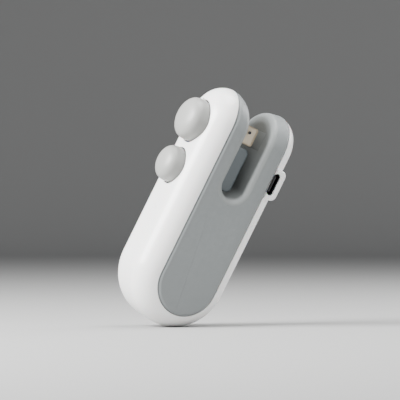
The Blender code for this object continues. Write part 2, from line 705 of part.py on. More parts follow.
def make_cut_body(finishes, origin):
    """The small button and the blade, which slide together along +X."""
    holder = empty("cut_slide_axis", (0, 0, CUT_Z), origin)
    body = empty("cut_pieces", (0, 0, -CUT_Z), holder)
    make_cap("cut_button_cap", CUT_Z, CUT_R, CUT_REACH, finishes["button"], body)
    make_stem("cut_button_stem", CUT_Z, CUT_STEM_R, HOLDER_BACK_X - GAP, finishes["steel"], body)
    make_ring("cut_retaining_ring", CUT_Z, CUT_STEM_R, finishes["steel"], body)
    make_spring("cut_return_spring", CUT_Z, CUT_STEM_R + 0.0018, finishes["steel"], body)
    make_cutter(finishes, body)


def main():
    clear_scene()
    finishes = make_finishes()
    origin = empty("sealer", (FRAME_SHIFT_X, 0, 0))
    make_shell(finishes["white"], origin)
    make_case_half("near_case_half", -1, finishes["grey"], origin)
    make_case_half("far_case_half", 1, finishes["grey"], origin)
    make_liner(finishes["lip"], origin)
    make_anvil(finishes["silicone"], origin)
    make_guard(finishes["guard"], origin)
    make_bush("seal_guide_bush", SEAL_Z, SEAL_STEM_R, finishes["brass"], origin)
    make_bush("cut_guide_bush", CUT_Z, CUT_STEM_R, finishes["brass"], origin)
    make_port(finishes, origin)
    make_power(finishes, origin)
    make_boards(finishes, origin)
    make_lead(finishes["lead"], origin)
    for index, (x, z) in enumerate(SCREWS, start=1):
        make_screw(index, x, z, finishes["steel"], origin)
    make_seal_body(finishes, origin)
    make_cut_body(finishes, origin)
    bpy.context.view_layer.update()


main()
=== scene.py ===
"""The looks of a handheld bag heat sealer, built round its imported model.

The sealer stands on its round end with its slot at the top. A white shell wraps
the front, the end and the back of a grey case. Two round buttons stand out of
the front: the large one carries the heater across the slot, and the small one
carries the blade out of its guard.
"""

import json
from contextlib import contextmanager
from math import cos, pi, radians, sin, sqrt

import bmesh
import bpy
from bpy.props import FloatProperty, FloatVectorProperty, IntProperty, PointerProperty
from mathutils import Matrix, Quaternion, Vector


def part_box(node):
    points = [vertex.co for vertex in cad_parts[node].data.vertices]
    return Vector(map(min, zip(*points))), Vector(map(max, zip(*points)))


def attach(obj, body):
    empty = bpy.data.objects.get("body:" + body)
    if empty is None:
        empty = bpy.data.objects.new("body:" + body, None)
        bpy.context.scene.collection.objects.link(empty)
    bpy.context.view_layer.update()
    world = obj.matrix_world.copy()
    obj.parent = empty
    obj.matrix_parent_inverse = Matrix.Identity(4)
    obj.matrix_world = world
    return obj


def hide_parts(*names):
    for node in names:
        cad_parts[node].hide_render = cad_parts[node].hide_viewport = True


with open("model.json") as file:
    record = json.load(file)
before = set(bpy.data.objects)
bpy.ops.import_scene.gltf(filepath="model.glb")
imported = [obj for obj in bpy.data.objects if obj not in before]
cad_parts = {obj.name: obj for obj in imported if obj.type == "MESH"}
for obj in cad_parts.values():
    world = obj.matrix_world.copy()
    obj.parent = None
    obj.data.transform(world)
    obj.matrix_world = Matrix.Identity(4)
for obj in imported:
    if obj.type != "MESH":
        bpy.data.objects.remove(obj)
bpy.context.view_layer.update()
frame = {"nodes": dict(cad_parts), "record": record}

bl_info = {
    "name": "Bag Sealer Looks",
    "version": (1, 0, 0),
    "blender": (4, 5, 0),
    "location": "3D View > Sidebar > Bag Sealer",
    "description": "Models the visible pieces of a handheld bag heat sealer and its stage",
    "category": "Object",
}

# Places that the pieces share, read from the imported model
LINER_LOW, LINER_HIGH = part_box("slot_liner")
SHELL_LOW, SHELL_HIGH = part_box("outer_shell")
CASE_LOW, NEAR_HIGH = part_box("near_case_half")
CASE_HIGH = Vector((NEAR_HIGH.x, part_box("far_case_half")[1].y, NEAR_HIGH.z))
SEAL_LOW, SEAL_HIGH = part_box("seal_button_cap")
CUT_LOW, CUT_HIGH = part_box("cut_button_cap")
GUARD_LOW, GUARD_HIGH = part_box("blade_guard")
CLOTH_LOW, CLOTH_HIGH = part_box("heater_cloth")
ANVIL_LOW, ANVIL_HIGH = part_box("anvil_pad")
PORT_LOW, PORT_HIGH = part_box("usb_receptacle")
TONGUE_LOW, TONGUE_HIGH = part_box("usb_tongue")

SLOT_X = (LINER_LOW.x + LINER_HIGH.x) / 2
CASE_X = (CASE_LOW.x + CASE_HIGH.x) / 2
CASE_R = (CASE_HIGH.x - CASE_LOW.x) / 2
TIP_Z = SHELL_HIGH.z
SEAL_Z = (SEAL_LOW.z + SEAL_HIGH.z) / 2
CUT_Z = (CUT_LOW.z + CUT_HIGH.z) / 2
PORT_X = (PORT_LOW.x + PORT_HIGH.x) / 2
PORT_Z = (PORT_LOW.z + PORT_HIGH.z) / 2

SHELL_HALF_WIDTH = SHELL_HIGH.y
LINER_HALF = (LINER_HIGH.x - LINER_LOW.x) / 2
SLOT_ARC_Z = LINER_LOW.z + LINER_HALF

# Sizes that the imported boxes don't give
SLOT_HALF = 0.0052
BACK_DROP = 0.0008
CASE_WALL = 0.0016
ROOM_TOP_Z = 0.0852
BUSH_WAY_R = 0.0033
LINER_HOLES = ((SEAL_Z, 0.0037), (CUT_Z, 0.0033))
GUARD_HOLES = ((SEAL_Z, 0.0026), (CUT_Z, 0.0022))
BOSS_HALF_LENGTH = 0.0064
BOSS_ROOT_Y = -0.0045
BOSS_INSET = 0.0008
CAP_WALL = 0.0016
SHANK_SHARE = 0.53
SCREW_HEAD_DEPTH = 0.0017
POST_WALL = 0.0009
COIL_ROOM = 0.0033

# How far a cutter runs past what it cuts, and how near counts as touching or as the same place
THROUGH = 0.03
CLEAR = 0.01
TOUCH = 0.00004
SMALL = 0.00001

# How far the camera aims to the left of the slot and above the sealer's mid-height
AIM_LEFT = 0.00187
AIM_UP = 0.00452


# ------------------------------------------------------------------ settings

class SealerSizes(bpy.types.PropertyGroup):
    """Roundings and gaps that set how soft the mouldings look."""

    shell_round: FloatProperty(
        name="Shell rounding", description="Radius along the shell's outer edges",
        default=0.009, min=0.002, max=0.012, precision=4, unit="LENGTH")
    shell_wall: FloatProperty(
        name="Shell wall", description="Wall thickness of the white shell",
        default=0.002, min=0.001, max=0.003, precision=4, unit="LENGTH")
    case_fillet: FloatProperty(
        name="Case fillet", description="Rounding round the grey side faces",
        default=0.0016, min=0.0003, max=0.002, precision=4, unit="LENGTH")
    lip_fillet: FloatProperty(
        name="Lip fillet", description="Rounding of the soft lip into the slot",
        default=0.0021, min=0.0003, max=0.0024, precision=4, unit="LENGTH")
    front_slope: FloatProperty(
        name="Front tip slope", description="How far the front arm's tip falls towards the slot",
        default=0.0034, min=0.0, max=0.005, precision=4, unit="LENGTH")
    back_slope: FloatProperty(
        name="Back tip slope", description="How far the back arm's tip falls towards the slot",
        default=0.0014, min=0.0, max=0.005, precision=4, unit="LENGTH")
    seam: FloatProperty(
        name="Seam", description="Open line between the shell and the case",
        default=0.00006, min=0.00003, max=0.0005, precision=5, unit="LENGTH")
    joint: FloatProperty(
        name="Joint", description="Half of the hairline between the case's mouldings",
        default=0.00003, min=0.00001, max=0.0002, precision=5, unit="LENGTH")
    button_gap: FloatProperty(
        name="Button gap", description="Open ring round each button",
        default=0.0004, min=0.0002, max=0.0008, precision=5, unit="LENGTH")
    edge_break: FloatProperty(
        name="Edge break", description="Rounding of small moulded edges",
        default=0.00025, min=0.00005, max=0.0006, precision=5, unit="LENGTH")
    arc_steps: IntProperty(
        name="Arc steps", description="Faces along a quarter turn of the large curves",
        default=26, min=8, max=48)


class SealerColours(bpy.types.PropertyGroup):
    """The colours of the visible finishes."""

    shell: FloatVectorProperty(
        name="Shell", description="Moulded white of the outer shell",
        default=(0.90, 0.895, 0.88), size=3, min=0.0, max=1.0, subtype="COLOR")
    case: FloatVectorProperty(
        name="Case", description="Cool grey of the case halves",
        default=(0.208, 0.224, 0.226), size=3, min=0.0, max=1.0, subtype="COLOR")
    lip: FloatVectorProperty(
        name="Lip", description="Lighter grey of the slot's lip",
        default=(0.24, 0.255, 0.252), size=3, min=0.0, max=1.0, subtype="COLOR")
    button: FloatVectorProperty(
        name="Buttons", description="Warm light grey of the button caps",
        default=(0.30, 0.303, 0.29), size=3, min=0.0, max=1.0, subtype="COLOR")
    guard: FloatVectorProperty(
        name="Blade guard", description="Dark blue-grey of the blade guard",
        default=(0.085, 0.103, 0.112), size=3, min=0.0, max=1.0, subtype="COLOR")
    cloth: FloatVectorProperty(
        name="Heater cloth", description="Beige of the non-stick glass cloth",
        default=(0.56, 0.45, 0.31), size=3, min=0.0, max=1.0, subtype="COLOR")


class SealerStage(bpy.types.PropertyGroup):
    """Where the camera stands and how bright the stage is."""

    azimuth: FloatProperty(
        name="Azimuth", description="Camera's turn round the sealer, from looking along +Y",
        default=radians(-27.0), subtype="ANGLE")
    elevation: FloatProperty(
        name="Elevation", description="Camera's height angle",
        default=radians(1.0), subtype="ANGLE")
    roll: FloatProperty(
        name="Roll", description="Camera's roll, which makes the sealer lean",
        default=radians(26.2), subtype="ANGLE")
    distance: FloatProperty(
        name="Distance", description="From the camera to the sealer's middle",
        default=1.1, min=0.3, max=3.0, unit="LENGTH")
    lens: FloatProperty(
        name="Lens", description="Focal length in millimetres",
        default=249.5, min=35.0, max=600.0)
    key_power: FloatProperty(
        name="Key light", description="Power of the main soft light, in watts",
        default=21.0, min=0.0, max=200.0)
    fill_power: FloatProperty(
        name="Fill light", description="Power of the soft light from the right, in watts",
        default=2.6, min=0.0, max=200.0)
    top_power: FloatProperty(
        name="Top light", description="Power of the soft light overhead, in watts",
        default=7.0, min=0.0, max=200.0)
    ambient: FloatProperty(
        name="Ambient", description="Strength of the even light from all round",
        default=0.13, min=0.0, max=2.0)
    floor_grey: FloatProperty(
        name="Floor grey", description="How pale the floor is",
        default=0.34, min=0.0, max=1.0, subtype="FACTOR")
    floor_reach: FloatProperty(
        name="Floor reach", description="Radius of the flat part of the floor",
        default=1.4, min=0.5, max=4.0, unit="LENGTH")


# ------------------------------------------------------- edit-mode helpers

def deselect_everything():
    """Leave nothing selected, so that an operator acts on the new piece alone."""
    bpy.ops.object.select_all(action="DESELECT")


def settle(piece, name):
    """Name a fresh piece and put its place and size into its mesh."""
    piece.name = name
    piece.data.name = name
    deselect_everything()
    piece.select_set(True)
    bpy.context.view_layer.objects.active = piece
    bpy.ops.object.transform_apply(location=True, rotation=True, scale=True)
    return piece


def add_block(name, low, high):
    """A cube primitive between two corners."""
    deselect_everything()
    low, high = Vector(low), Vector(high)
    bpy.ops.mesh.primitive_cube_add(size=1.0, location=(low + high) / 2)
    piece = bpy.context.active_object
    piece.scale = high - low
    return settle(piece, name)


def add_rod(name, centre, radius, depth, along, sides=64):
    """A cylinder primitive whose axis runs along X, Y or Z."""
    deselect_everything()
    turn = {"X": (0, pi / 2, 0), "Y": (pi / 2, 0, 0), "Z": (0, 0, 0)}[along]
    bpy.ops.mesh.primitive_cylinder_add(
        vertices=sides, radius=radius, depth=depth, location=centre, rotation=turn)
    return settle(bpy.context.active_object, name)


@contextmanager
def editing(piece, kind="EDGE"):
    """Edit mode on one piece, with nothing selected to begin with."""
    deselect_everything()
    piece.select_set(True)
    bpy.context.view_layer.objects.active = piece
    bpy.ops.object.mode_set(mode="EDIT")
    bpy.ops.mesh.select_mode(type=kind)
    bpy.ops.mesh.select_all(action="DESELECT")
    yield
    bpy.ops.object.mode_set(mode="OBJECT")


def pick(piece, kind, test):
    """Select the edges, faces or verts that pass a test, and say how many."""
    mesh = bmesh.from_edit_mesh(piece.data)
    mesh.normal_update()
    count = 0
    for item in getattr(mesh, kind):
        chosen = bool(test(item))
        item.select_set(chosen)
        count += chosen
    if kind != "faces":
        for item in getattr(mesh, kind):
            if test(item):
                item.select_set(True)
    mesh.select_flush_mode()
    bmesh.update_edit_mesh(piece.data)
    return count


def middle(item):
    """The middle of an edge or a face."""
    corners = [v.co for v in item.verts]
    return sum(corners, Vector()) / len(corners)


def runs_along(edge, axis):
    """True for an edge that is parallel to axis 0, 1 or 2."""
    line = edge.verts[1].co - edge.verts[0].co
    return line.length > SMALL and abs(line.normalized()[axis]) > 0.999


def sharper_than(edge, degrees):
    """True where the two faces at an edge meet at more than this angle."""
    return len(edge.link_faces) == 2 and edge.calc_face_angle(0.0) > radians(degrees)


def round_edges(piece, test, width, steps, merge=True):
    """Bevel the edges that pass a test."""
    with editing(piece):
        if not pick(piece, "edges", test):
            raise RuntimeError(f"{piece.name}: no edge to round")
        bpy.ops.mesh.bevel(offset=width, segments=steps, profile=0.5, affect="EDGES", clamp_overlap=False)
        if merge:
            bpy.ops.mesh.select_all(action="SELECT")
            bpy.ops.mesh.remove_doubles(threshold=SMALL)
    return piece


def apply_modifier(piece, kind, **settings):
    """Add a modifier with its settings and apply it at once."""
    deselect_everything()
    piece.select_set(True)
    bpy.context.view_layer.objects.active = piece
    modifier = piece.modifiers.new(kind.title(), kind)
    for key, value in settings.items():
        setattr(modifier, key, value)
    bpy.ops.object.modifier_apply(modifier=modifier.name)
    return piece


def combine(piece, tool, operation="DIFFERENCE"):
    """Cut, join or cross two solids, and drop the tool."""
    apply_modifier(piece, "BOOLEAN", operation=operation, solver="MANIFOLD", object=tool)
    bpy.data.objects.remove(tool, do_unlink=True)
    if not piece.data.polygons:
        raise RuntimeError(f"{piece.name}: nothing is left of it")
    return piece


def smooth(piece, degrees=32):
    """Smooth shading, with an edge kept where faces turn by more than the angle."""
    deselect_everything()
    piece.select_set(True)
    bpy.context.view_layer.objects.active = piece
    bpy.ops.object.shade_smooth_by_angle(angle=radians(degrees))
    return piece


def weigh_normals(piece):
    """Let the large faces lead the shading next to narrow bevels."""
    return apply_modifier(piece, "WEIGHTED_NORMAL", keep_sharp=True, weight=60, mode="FACE_AREA")


def finish_piece(piece, body, slot, material, *nodes):
    """Give a piece its material, and say what it rides on and stands for."""
    piece.data.materials.clear()
    piece.data.materials.append(material)
    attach(piece, body)
    if nodes:
        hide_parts(*nodes)
    return piece


# ------------------------------------------------------------- node groups

def new_group(name, inputs, outputs):
    """An empty shader group with named sockets."""
    group = bpy.data.node_groups.new(name, "ShaderNodeTree")
    for title, kind, default in inputs:
        socket = group.interface.new_socket(name=title, in_out="INPUT", socket_type=kind)
        if default is not None:
            socket.default_value = default
    for title, kind in outputs:
        group.interface.new_socket(name=title, in_out="OUTPUT", socket_type=kind)
    return group, group.nodes.new("NodeGroupInput"), group.nodes.new("NodeGroupOutput")


def add_math(tree, operation, first, second=0.5, third=None):
    """A Math node fed by sockets or plain numbers; returns its output."""
    node = tree.nodes.new("ShaderNodeMath")
    node.operation = operation
    for socket, value in zip(node.inputs, (first, second, third)):
        if value is None:
            continue
        if isinstance(value, (int, float)):
            socket.default_value = value
        else:
            tree.links.new(value, socket)
    return node.outputs[0]


def add_noise(tree, vector, scale, detail=3.0, roughness=0.5):
    """A Noise texture; returns its 0 to 1 value."""
    node = tree.nodes.new("ShaderNodeTexNoise")
    node.inputs["Detail"].default_value = detail
    node.inputs["Roughness"].default_value = roughness
    tree.links.new(vector, node.inputs["Vector"])
    if isinstance(scale, (int, float)):
        node.inputs["Scale"].default_value = scale
    else:
        tree.links.new(scale, node.inputs["Scale"])
    return node.outputs["Fac"]


def scale_colour(tree, colour, factor):
    """A colour multiplied by a value."""
    node = tree.nodes.new("ShaderNodeVectorMath")
    node.operation = "SCALE"
    tree.links.new(colour, node.inputs[0])
    tree.links.new(factor, node.inputs["Scale"])
    return node.outputs[0]


def remap(tree, value, low, high, to_low, to_high):
    """A value moved from one range to another, and kept inside it."""
    node = tree.nodes.new("ShaderNodeMapRange")
    for title, number in (("From Min", low), ("From Max", high), ("To Min", to_low), ("To Max", to_high)):
        if isinstance(number, (int, float)):
            node.inputs[title].default_value = number
        else:
            tree.links.new(number, node.inputs[title])
    tree.links.new(value, node.inputs["Value"])
    return node.outputs["Result"]


def group_moulding():
    """Moulded plastic: faint mottling, a fine spark-eroded grain and uneven gloss."""
    name = "Moulded Surface"
    if name in bpy.data.node_groups:
        return bpy.data.node_groups[name]
    group, inside, outside = new_group(
        name,
        [("Vector", "NodeSocketVector", None), ("Colour", "NodeSocketColor", None),
         ("Mottle", "NodeSocketFloat", 0.03), ("Grain Scale", "NodeSocketFloat", 3000.0),
         ("Roughness", "NodeSocketFloat", 0.4), ("Uneven Gloss", "NodeSocketFloat", 0.06)],
        [("Colour", "NodeSocketColor"), ("Roughness", "NodeSocketFloat"), ("Height", "NodeSocketFloat")])
    vector = inside.outputs["Vector"]
    cloudy = add_noise(group, vector, 55.0, 4.0, 0.6)
    spread = add_math(group, "SUBTRACT", cloudy, 0.5)
    spread = add_math(group, "MULTIPLY", spread, inside.outputs["Mottle"])
    factor = add_math(group, "MULTIPLY_ADD", spread, 2.0, 1.0)
    group.links.new(scale_colour(group, inside.outputs["Colour"], factor), outside.inputs["Colour"])
    handled = add_noise(group, vector, 140.0, 5.0, 0.65)
    handled = add_math(group, "SUBTRACT", handled, 0.5)
    handled = add_math(group, "MULTIPLY", handled, inside.outputs["Uneven Gloss"])
    gloss = add_math(group, "MULTIPLY_ADD", handled, 2.0, inside.outputs["Roughness"])
    group.links.new(gloss, outside.inputs["Roughness"])
    grain = add_noise(group, vector, inside.outputs["Grain Scale"], 2.0, 0.5)
    group.links.new(grain, outside.inputs["Height"])
    return group


def group_wear():
    """Handling wear: a mask that is 1 on convex edges, broken up by noise."""
    name = "Edge Wear"
    if name in bpy.data.node_groups:
        return bpy.data.node_groups[name]
    group, inside, outside = new_group(
        name,
        [("Vector", "NodeSocketVector", None), ("Reach", "NodeSocketFloat", 0.04)],
        [("Mask", "NodeSocketFloat")])
    geometry = group.nodes.new("ShaderNodeNewGeometry")
    top = add_math(group, "ADD", inside.outputs["Reach"], 0.5)
    edge = remap(group, geometry.outputs["Pointiness"], 0.505, top, 0.0, 1.0)
    breaks = remap(group, add_noise(group, inside.outputs["Vector"], 420.0, 4.0, 0.7), 0.35, 0.7, 0.25, 1.0)
    group.links.new(add_math(group, "MULTIPLY", edge, breaks), outside.inputs["Mask"])
    return group


def group_weave():
    """Plain weave: threads that pass over and under each other, as height and shade."""
    name = "Plain Weave"
    if name in bpy.data.node_groups:
        return bpy.data.node_groups[name]
    group, inside, outside = new_group(
        name,
        [("Across", "NodeSocketFloat", 0.0), ("Along", "NodeSocketFloat", 0.0),
         ("Pitch", "NodeSocketFloat", 0.0006)],
        [("Height", "NodeSocketFloat"), ("Over", "NodeSocketFloat")])
    half_turn = add_math(group, "DIVIDE", pi, inside.outputs["Pitch"])
    across = add_math(group, "MULTIPLY", inside.outputs["Across"], half_turn)
    along = add_math(group, "MULTIPLY", inside.outputs["Along"], half_turn)
    wave_across = add_math(group, "SINE", across)
    wave_along = add_math(group, "SINE", along)
    product = add_math(group, "MULTIPLY", wave_across, wave_along)
    over = remap(group, product, -0.35, 0.35, 0.0, 1.0)
    round_across = add_math(group, "ABSOLUTE", wave_across)
    round_along = add_math(group, "ABSOLUTE", wave_along)
    lift = add_math(group, "MULTIPLY", round_across, over)
    under = add_math(group, "SUBTRACT", 1.0, over)
    dip = add_math(group, "MULTIPLY", round_along, under)
    group.links.new(add_math(group, "ADD", lift, dip), outside.inputs["Height"])
    group.links.new(over, outside.inputs["Over"])
    return group


def group_brushed():
    """Drawn or ground metal: long fine lines along one axis."""
    name = "Ground Lines"
    if name in bpy.data.node_groups:
        return bpy.data.node_groups[name]
    group, inside, outside = new_group(
        name,
        [("Vector", "NodeSocketVector", None), ("Roughness", "NodeSocketFloat", 0.3),
         ("Spread", "NodeSocketFloat", 0.12)],
        [("Roughness", "NodeSocketFloat"), ("Height", "NodeSocketFloat"), ("Shade", "NodeSocketFloat")])
    stretch = group.nodes.new("ShaderNodeMapping")
    stretch.inputs["Scale"].default_value = (60.0, 2600.0, 2600.0)
    group.links.new(inside.outputs["Vector"], stretch.inputs["Vector"])
    lines = add_noise(group, stretch.outputs["Vector"], 1.0, 3.0, 0.6)
    centred = add_math(group, "SUBTRACT", lines, 0.5)
    change = add_math(group, "MULTIPLY", centred, inside.outputs["Spread"])
    gloss = add_math(group, "ADD", change, inside.outputs["Roughness"])
    group.links.new(gloss, outside.inputs["Roughness"])
    group.links.new(lines, outside.inputs["Height"])
    group.links.new(remap(group, lines, 0.2, 0.8, 0.82, 1.0), outside.inputs["Shade"])
    return group


# --------------------------------------------------------------- materials

def start_material(name):
    """A material with its shader, its output and Object coordinates."""
    finish = bpy.data.materials.new(name)
    finish.use_nodes = True
    tree = finish.node_tree
    shader = tree.nodes["Principled BSDF"]
    place = tree.nodes.new("ShaderNodeTexCoord").outputs["Object"]
    return finish, tree, shader, place


def place_group(tree, group, **values):
    """A group node with the values of its named inputs."""
    node = tree.nodes.new("ShaderNodeGroup")
    node.node_tree = group
    for title, value in values.items():
        node.inputs[title.replace("_", " ")].default_value = value
    return node


def add_bump(tree, shader, height, distance, strength=1.0):
    """Small relief on the shader's normal."""
    bump = tree.nodes.new("ShaderNodeBump")
    bump.inputs["Distance"].default_value = distance
    bump.inputs["Strength"].default_value = strength
    tree.links.new(height, bump.inputs["Height"])
    tree.links.new(bump.outputs["Normal"], shader.inputs["Normal"])


def plastic(name, colour, roughness, mottle=0.03, grain=3000.0, relief=0.00001, uneven=0.06, wear=0.0,
            wear_colour=None, coat=0.0, subsurface=0.0):
    """Moulded plastic or silicone in one colour, with grain and handling wear."""
    finish, tree, shader, place = start_material(name)
    surface = place_group(tree, group_moulding(), Colour=(*colour, 1.0), Mottle=mottle,
                          Grain_Scale=grain, Roughness=roughness, Uneven_Gloss=uneven)
    tree.links.new(place, surface.inputs["Vector"])
    colour_out = surface.outputs["Colour"]
    rough_out = surface.outputs["Roughness"]
    if wear:
        edges = place_group(tree, group_wear(), Reach=0.05)
        tree.links.new(place, edges.inputs["Vector"])
        mask = add_math(tree, "MULTIPLY", edges.outputs["Mask"], wear)
        mix = tree.nodes.new("ShaderNodeMix")
        mix.data_type = "RGBA"
        mix.inputs["B"].default_value = (*(wear_colour or colour), 1.0)
        tree.links.new(mask, mix.inputs["Factor"])
        tree.links.new(colour_out, mix.inputs["A"])
        colour_out = mix.outputs["Result"]
        rough_out = add_math(tree, "MULTIPLY_ADD", mask, -0.12, rough_out)
    tree.links.new(colour_out, shader.inputs["Base Color"])
    tree.links.new(rough_out, shader.inputs["Roughness"])
    add_bump(tree, shader, surface.outputs["Height"], relief)
    shader.inputs["Coat Weight"].default_value = coat
    shader.inputs["Coat Roughness"].default_value = 0.12
    if subsurface:
        shader.inputs["Subsurface Weight"].default_value = subsurface
        shader.inputs["Subsurface Scale"].default_value = 0.0008
    return finish


def metal(name, colour, roughness, spread=0.12, turn=(0.0, 0.0, 0.0)):
    """Ground, drawn or turned metal with fine lines along its local X."""
    finish, tree, shader, place = start_material(name)
    mapping = tree.nodes.new("ShaderNodeMapping")
    mapping.inputs["Rotation"].default_value = turn
    tree.links.new(place, mapping.inputs["Vector"])
    lines = place_group(tree, group_brushed(), Roughness=roughness, Spread=spread)
    tree.links.new(mapping.outputs["Vector"], lines.inputs["Vector"])
    base = tree.nodes.new("ShaderNodeRGB")
    base.outputs[0].default_value = (*colour, 1.0)
    shaded = scale_colour(tree, base.outputs[0], lines.outputs["Shade"])
    tree.links.new(shaded, shader.inputs["Base Color"])
    tree.links.new(lines.outputs["Roughness"], shader.inputs["Roughness"])
    add_bump(tree, shader, lines.outputs["Height"], 0.000004)
    shader.inputs["Metallic"].default_value = 1.0
    return finish


def woven_cloth(name, colour):
    """Non-stick glass cloth: a fine plain weave with painted shade in its hollows, a little painted
    highlight on its raised threads, and scorched patches.
    """
    finish, tree, shader, place = start_material(name)
    split = tree.nodes.new("ShaderNodeSeparateXYZ")
    tree.links.new(place, split.inputs["Vector"])
    weave = place_group(tree, group_weave(), Pitch=0.00042)
    run = add_math(tree, "ADD", split.outputs["X"], split.outputs["Z"])
    tree.links.new(split.outputs["Y"], weave.inputs["Across"])
    tree.links.new(run, weave.inputs["Along"])
    surface = place_group(tree, group_moulding(), Colour=(*colour, 1.0), Mottle=0.10,
                          Grain_Scale=5200.0, Roughness=0.52, Uneven_Gloss=0.10)
    tree.links.new(place, surface.inputs["Vector"])
    # Painted shade and highlight from the weave's height: darker in the hollows between threads, a touch
    # lighter on the raised threads.
    shade = remap(tree, weave.outputs["Height"], 0.1, 0.9, 0.72, 1.06)
    patches = remap(tree, add_noise(tree, place, 300.0, 3.0, 0.6), 0.45, 0.75, 1.0, 0.74)
    # The painted weave shade is multiplied by the scorched patches, which are real stains on the cloth.
    shade = add_math(tree, "MULTIPLY", shade, patches)
    tree.links.new(scale_colour(tree, surface.outputs["Colour"], shade), shader.inputs["Base Color"])
    tree.links.new(surface.outputs["Roughness"], shader.inputs["Roughness"])
    add_bump(tree, shader, weave.outputs["Height"], 0.00008)
    return finish


def circuit_board(name):
    """Green solder mask over copper tracks, as a fine grid of darker and lighter lines."""
    finish, tree, shader, place = start_material(name)
    tracks = tree.nodes.new("ShaderNodeTexBrick")
    tracks.inputs["Scale"].default_value = 260.0
    tracks.inputs["Color1"].default_value = (0.012, 0.115, 0.05, 1.0)
    tracks.inputs["Color2"].default_value = (0.02, 0.16, 0.07, 1.0)
    tracks.inputs["Mortar"].default_value = (0.05, 0.26, 0.11, 1.0)
    tracks.inputs["Mortar Size"].default_value = 0.06
    turn = tree.nodes.new("ShaderNodeMapping")
    turn.inputs["Rotation"].default_value = (pi / 2, 0.0, pi / 2)
    tree.links.new(place, turn.inputs["Vector"])
    tree.links.new(turn.outputs["Vector"], tracks.inputs["Vector"])
    tree.links.new(tracks.outputs["Color"], shader.inputs["Base Color"])
    rough = remap(tree, add_noise(tree, place, 900.0), 0.3, 0.7, 0.28, 0.42)
    tree.links.new(rough, shader.inputs["Roughness"])
    add_bump(tree, shader, tracks.outputs["Fac"], 0.00002)
    return finish


FINISHES = {}


def make_finishes(colours):
    """Every finish of the sealer, by the name of its material slot."""
    warm_white = tuple(min(1.0, channel * 1.05) for channel in colours.shell)
    pale_grey = tuple(channel * 1.35 for channel in colours.case)
    FINISHES.update({
        "white_shell": plastic("white_shell", colours.shell, 0.30, mottle=0.012, grain=4200.0,
                               relief=0.000003, uneven=0.05, wear=0.25, wear_colour=warm_white, coat=0.15,
                               subsurface=0.08),
        "grey_case": plastic("grey_case", colours.case, 0.46, mottle=0.03, grain=3600.0,
                             relief=0.000007, uneven=0.06, wear=0.35, wear_colour=pale_grey),
        "lip": plastic("lip", colours.lip, 0.50, mottle=0.03, grain=3200.0, relief=0.000008, wear=0.2,
                       wear_colour=pale_grey),
        "button": plastic("button", colours.button, 0.42, mottle=0.02, grain=3800.0, relief=0.000006,
                          uneven=0.08, wear=0.25, wear_colour=tuple(c * 1.2 for c in colours.button)),
        "guard": plastic("guard", colours.guard, 0.34, mottle=0.05, grain=3600.0, relief=0.000006,
                         wear=0.4, wear_colour=tuple(c * 1.7 for c in colours.guard), coat=0.2),
        "silicone": plastic("silicone", colours.lip, 0.62, mottle=0.05, grain=2600.0,
                            relief=0.000012),
        "ceramic": plastic("ceramic", (0.58, 0.50, 0.38), 0.60, mottle=0.12, grain=2400.0,
                           relief=0.00002),
        "dark_nylon": plastic("dark_nylon", (0.022, 0.022, 0.024), 0.48, mottle=0.10, grain=2600.0,
                              relief=0.00001),
        "chip": plastic("chip", (0.018, 0.018, 0.02), 0.55, mottle=0.08, grain=5200.0, relief=0.000006),
        "cell_wrap": plastic("cell_wrap", (0.03, 0.17, 0.40), 0.32, mottle=0.05, grain=900.0,
                             relief=0.00001, coat=0.3),
        "lead_red": plastic("lead_red", (0.42, 0.025, 0.02), 0.46, mottle=0.05, grain=3000.0),
        "glass_cloth": woven_cloth("glass_cloth", colours.cloth),
        "board": circuit_board("board"),
        "heating_strip": metal("heating_strip", (0.44, 0.41, 0.38), 0.38, turn=(0.0, 0.0, pi / 2)),
        "steel": metal("steel", (0.68, 0.68, 0.67), 0.26),
        "dark_steel": metal("dark_steel", (0.055, 0.055, 0.06), 0.34),
        "brass": metal("brass", (0.70, 0.50, 0.22), 0.28),
    })


# ------------------------------------------------------------ shell and case

def pill(name, low, high, end_round, arch_round, edge_round, steps):
    """A block with a half-round lower end, an arched top and rounded long edges."""
    block = add_block(name, low, high)
    round_edges(block, lambda e: runs_along(e, 1) and middle(e).z < low[2] + SMALL,
                end_round - TOUCH / 4, steps)
    round_edges(block, lambda e: runs_along(e, 0) and middle(e).z > high[2] - SMALL,
                arch_round - TOUCH / 4, steps)
    return round_edges(block, lambda e: sharper_than(e, 60), edge_round, 12, merge=False)


def slot_tool(name, half):
    """A cutter the shape of the slot: a slab with a half-round lower end."""
    low = (SLOT_X - half, -THROUGH, SLOT_ARC_Z - half)
    high = (SLOT_X + half, THROUGH, TIP_Z + CLEAR)
    tool = add_block(name, low, high)
    return round_edges(tool, lambda e: runs_along(e, 1) and middle(e).z < low[2] + SMALL,
                       half - TOUCH / 4, 20)


def case_tool(name, grow):
    """A cutter the shape of the grey case, which goes right up through the tips."""
    low = (CASE_LOW.x - grow, -THROUGH, CASE_LOW.z - grow)
    high = (CASE_HIGH.x + grow, THROUGH, TIP_Z + CLEAR)
    tool = add_block(name, low, high)
    return round_edges(tool, lambda e: runs_along(e, 1) and middle(e).z < low[2] + SMALL,
                       CASE_R + grow - TOUCH / 4, 36)


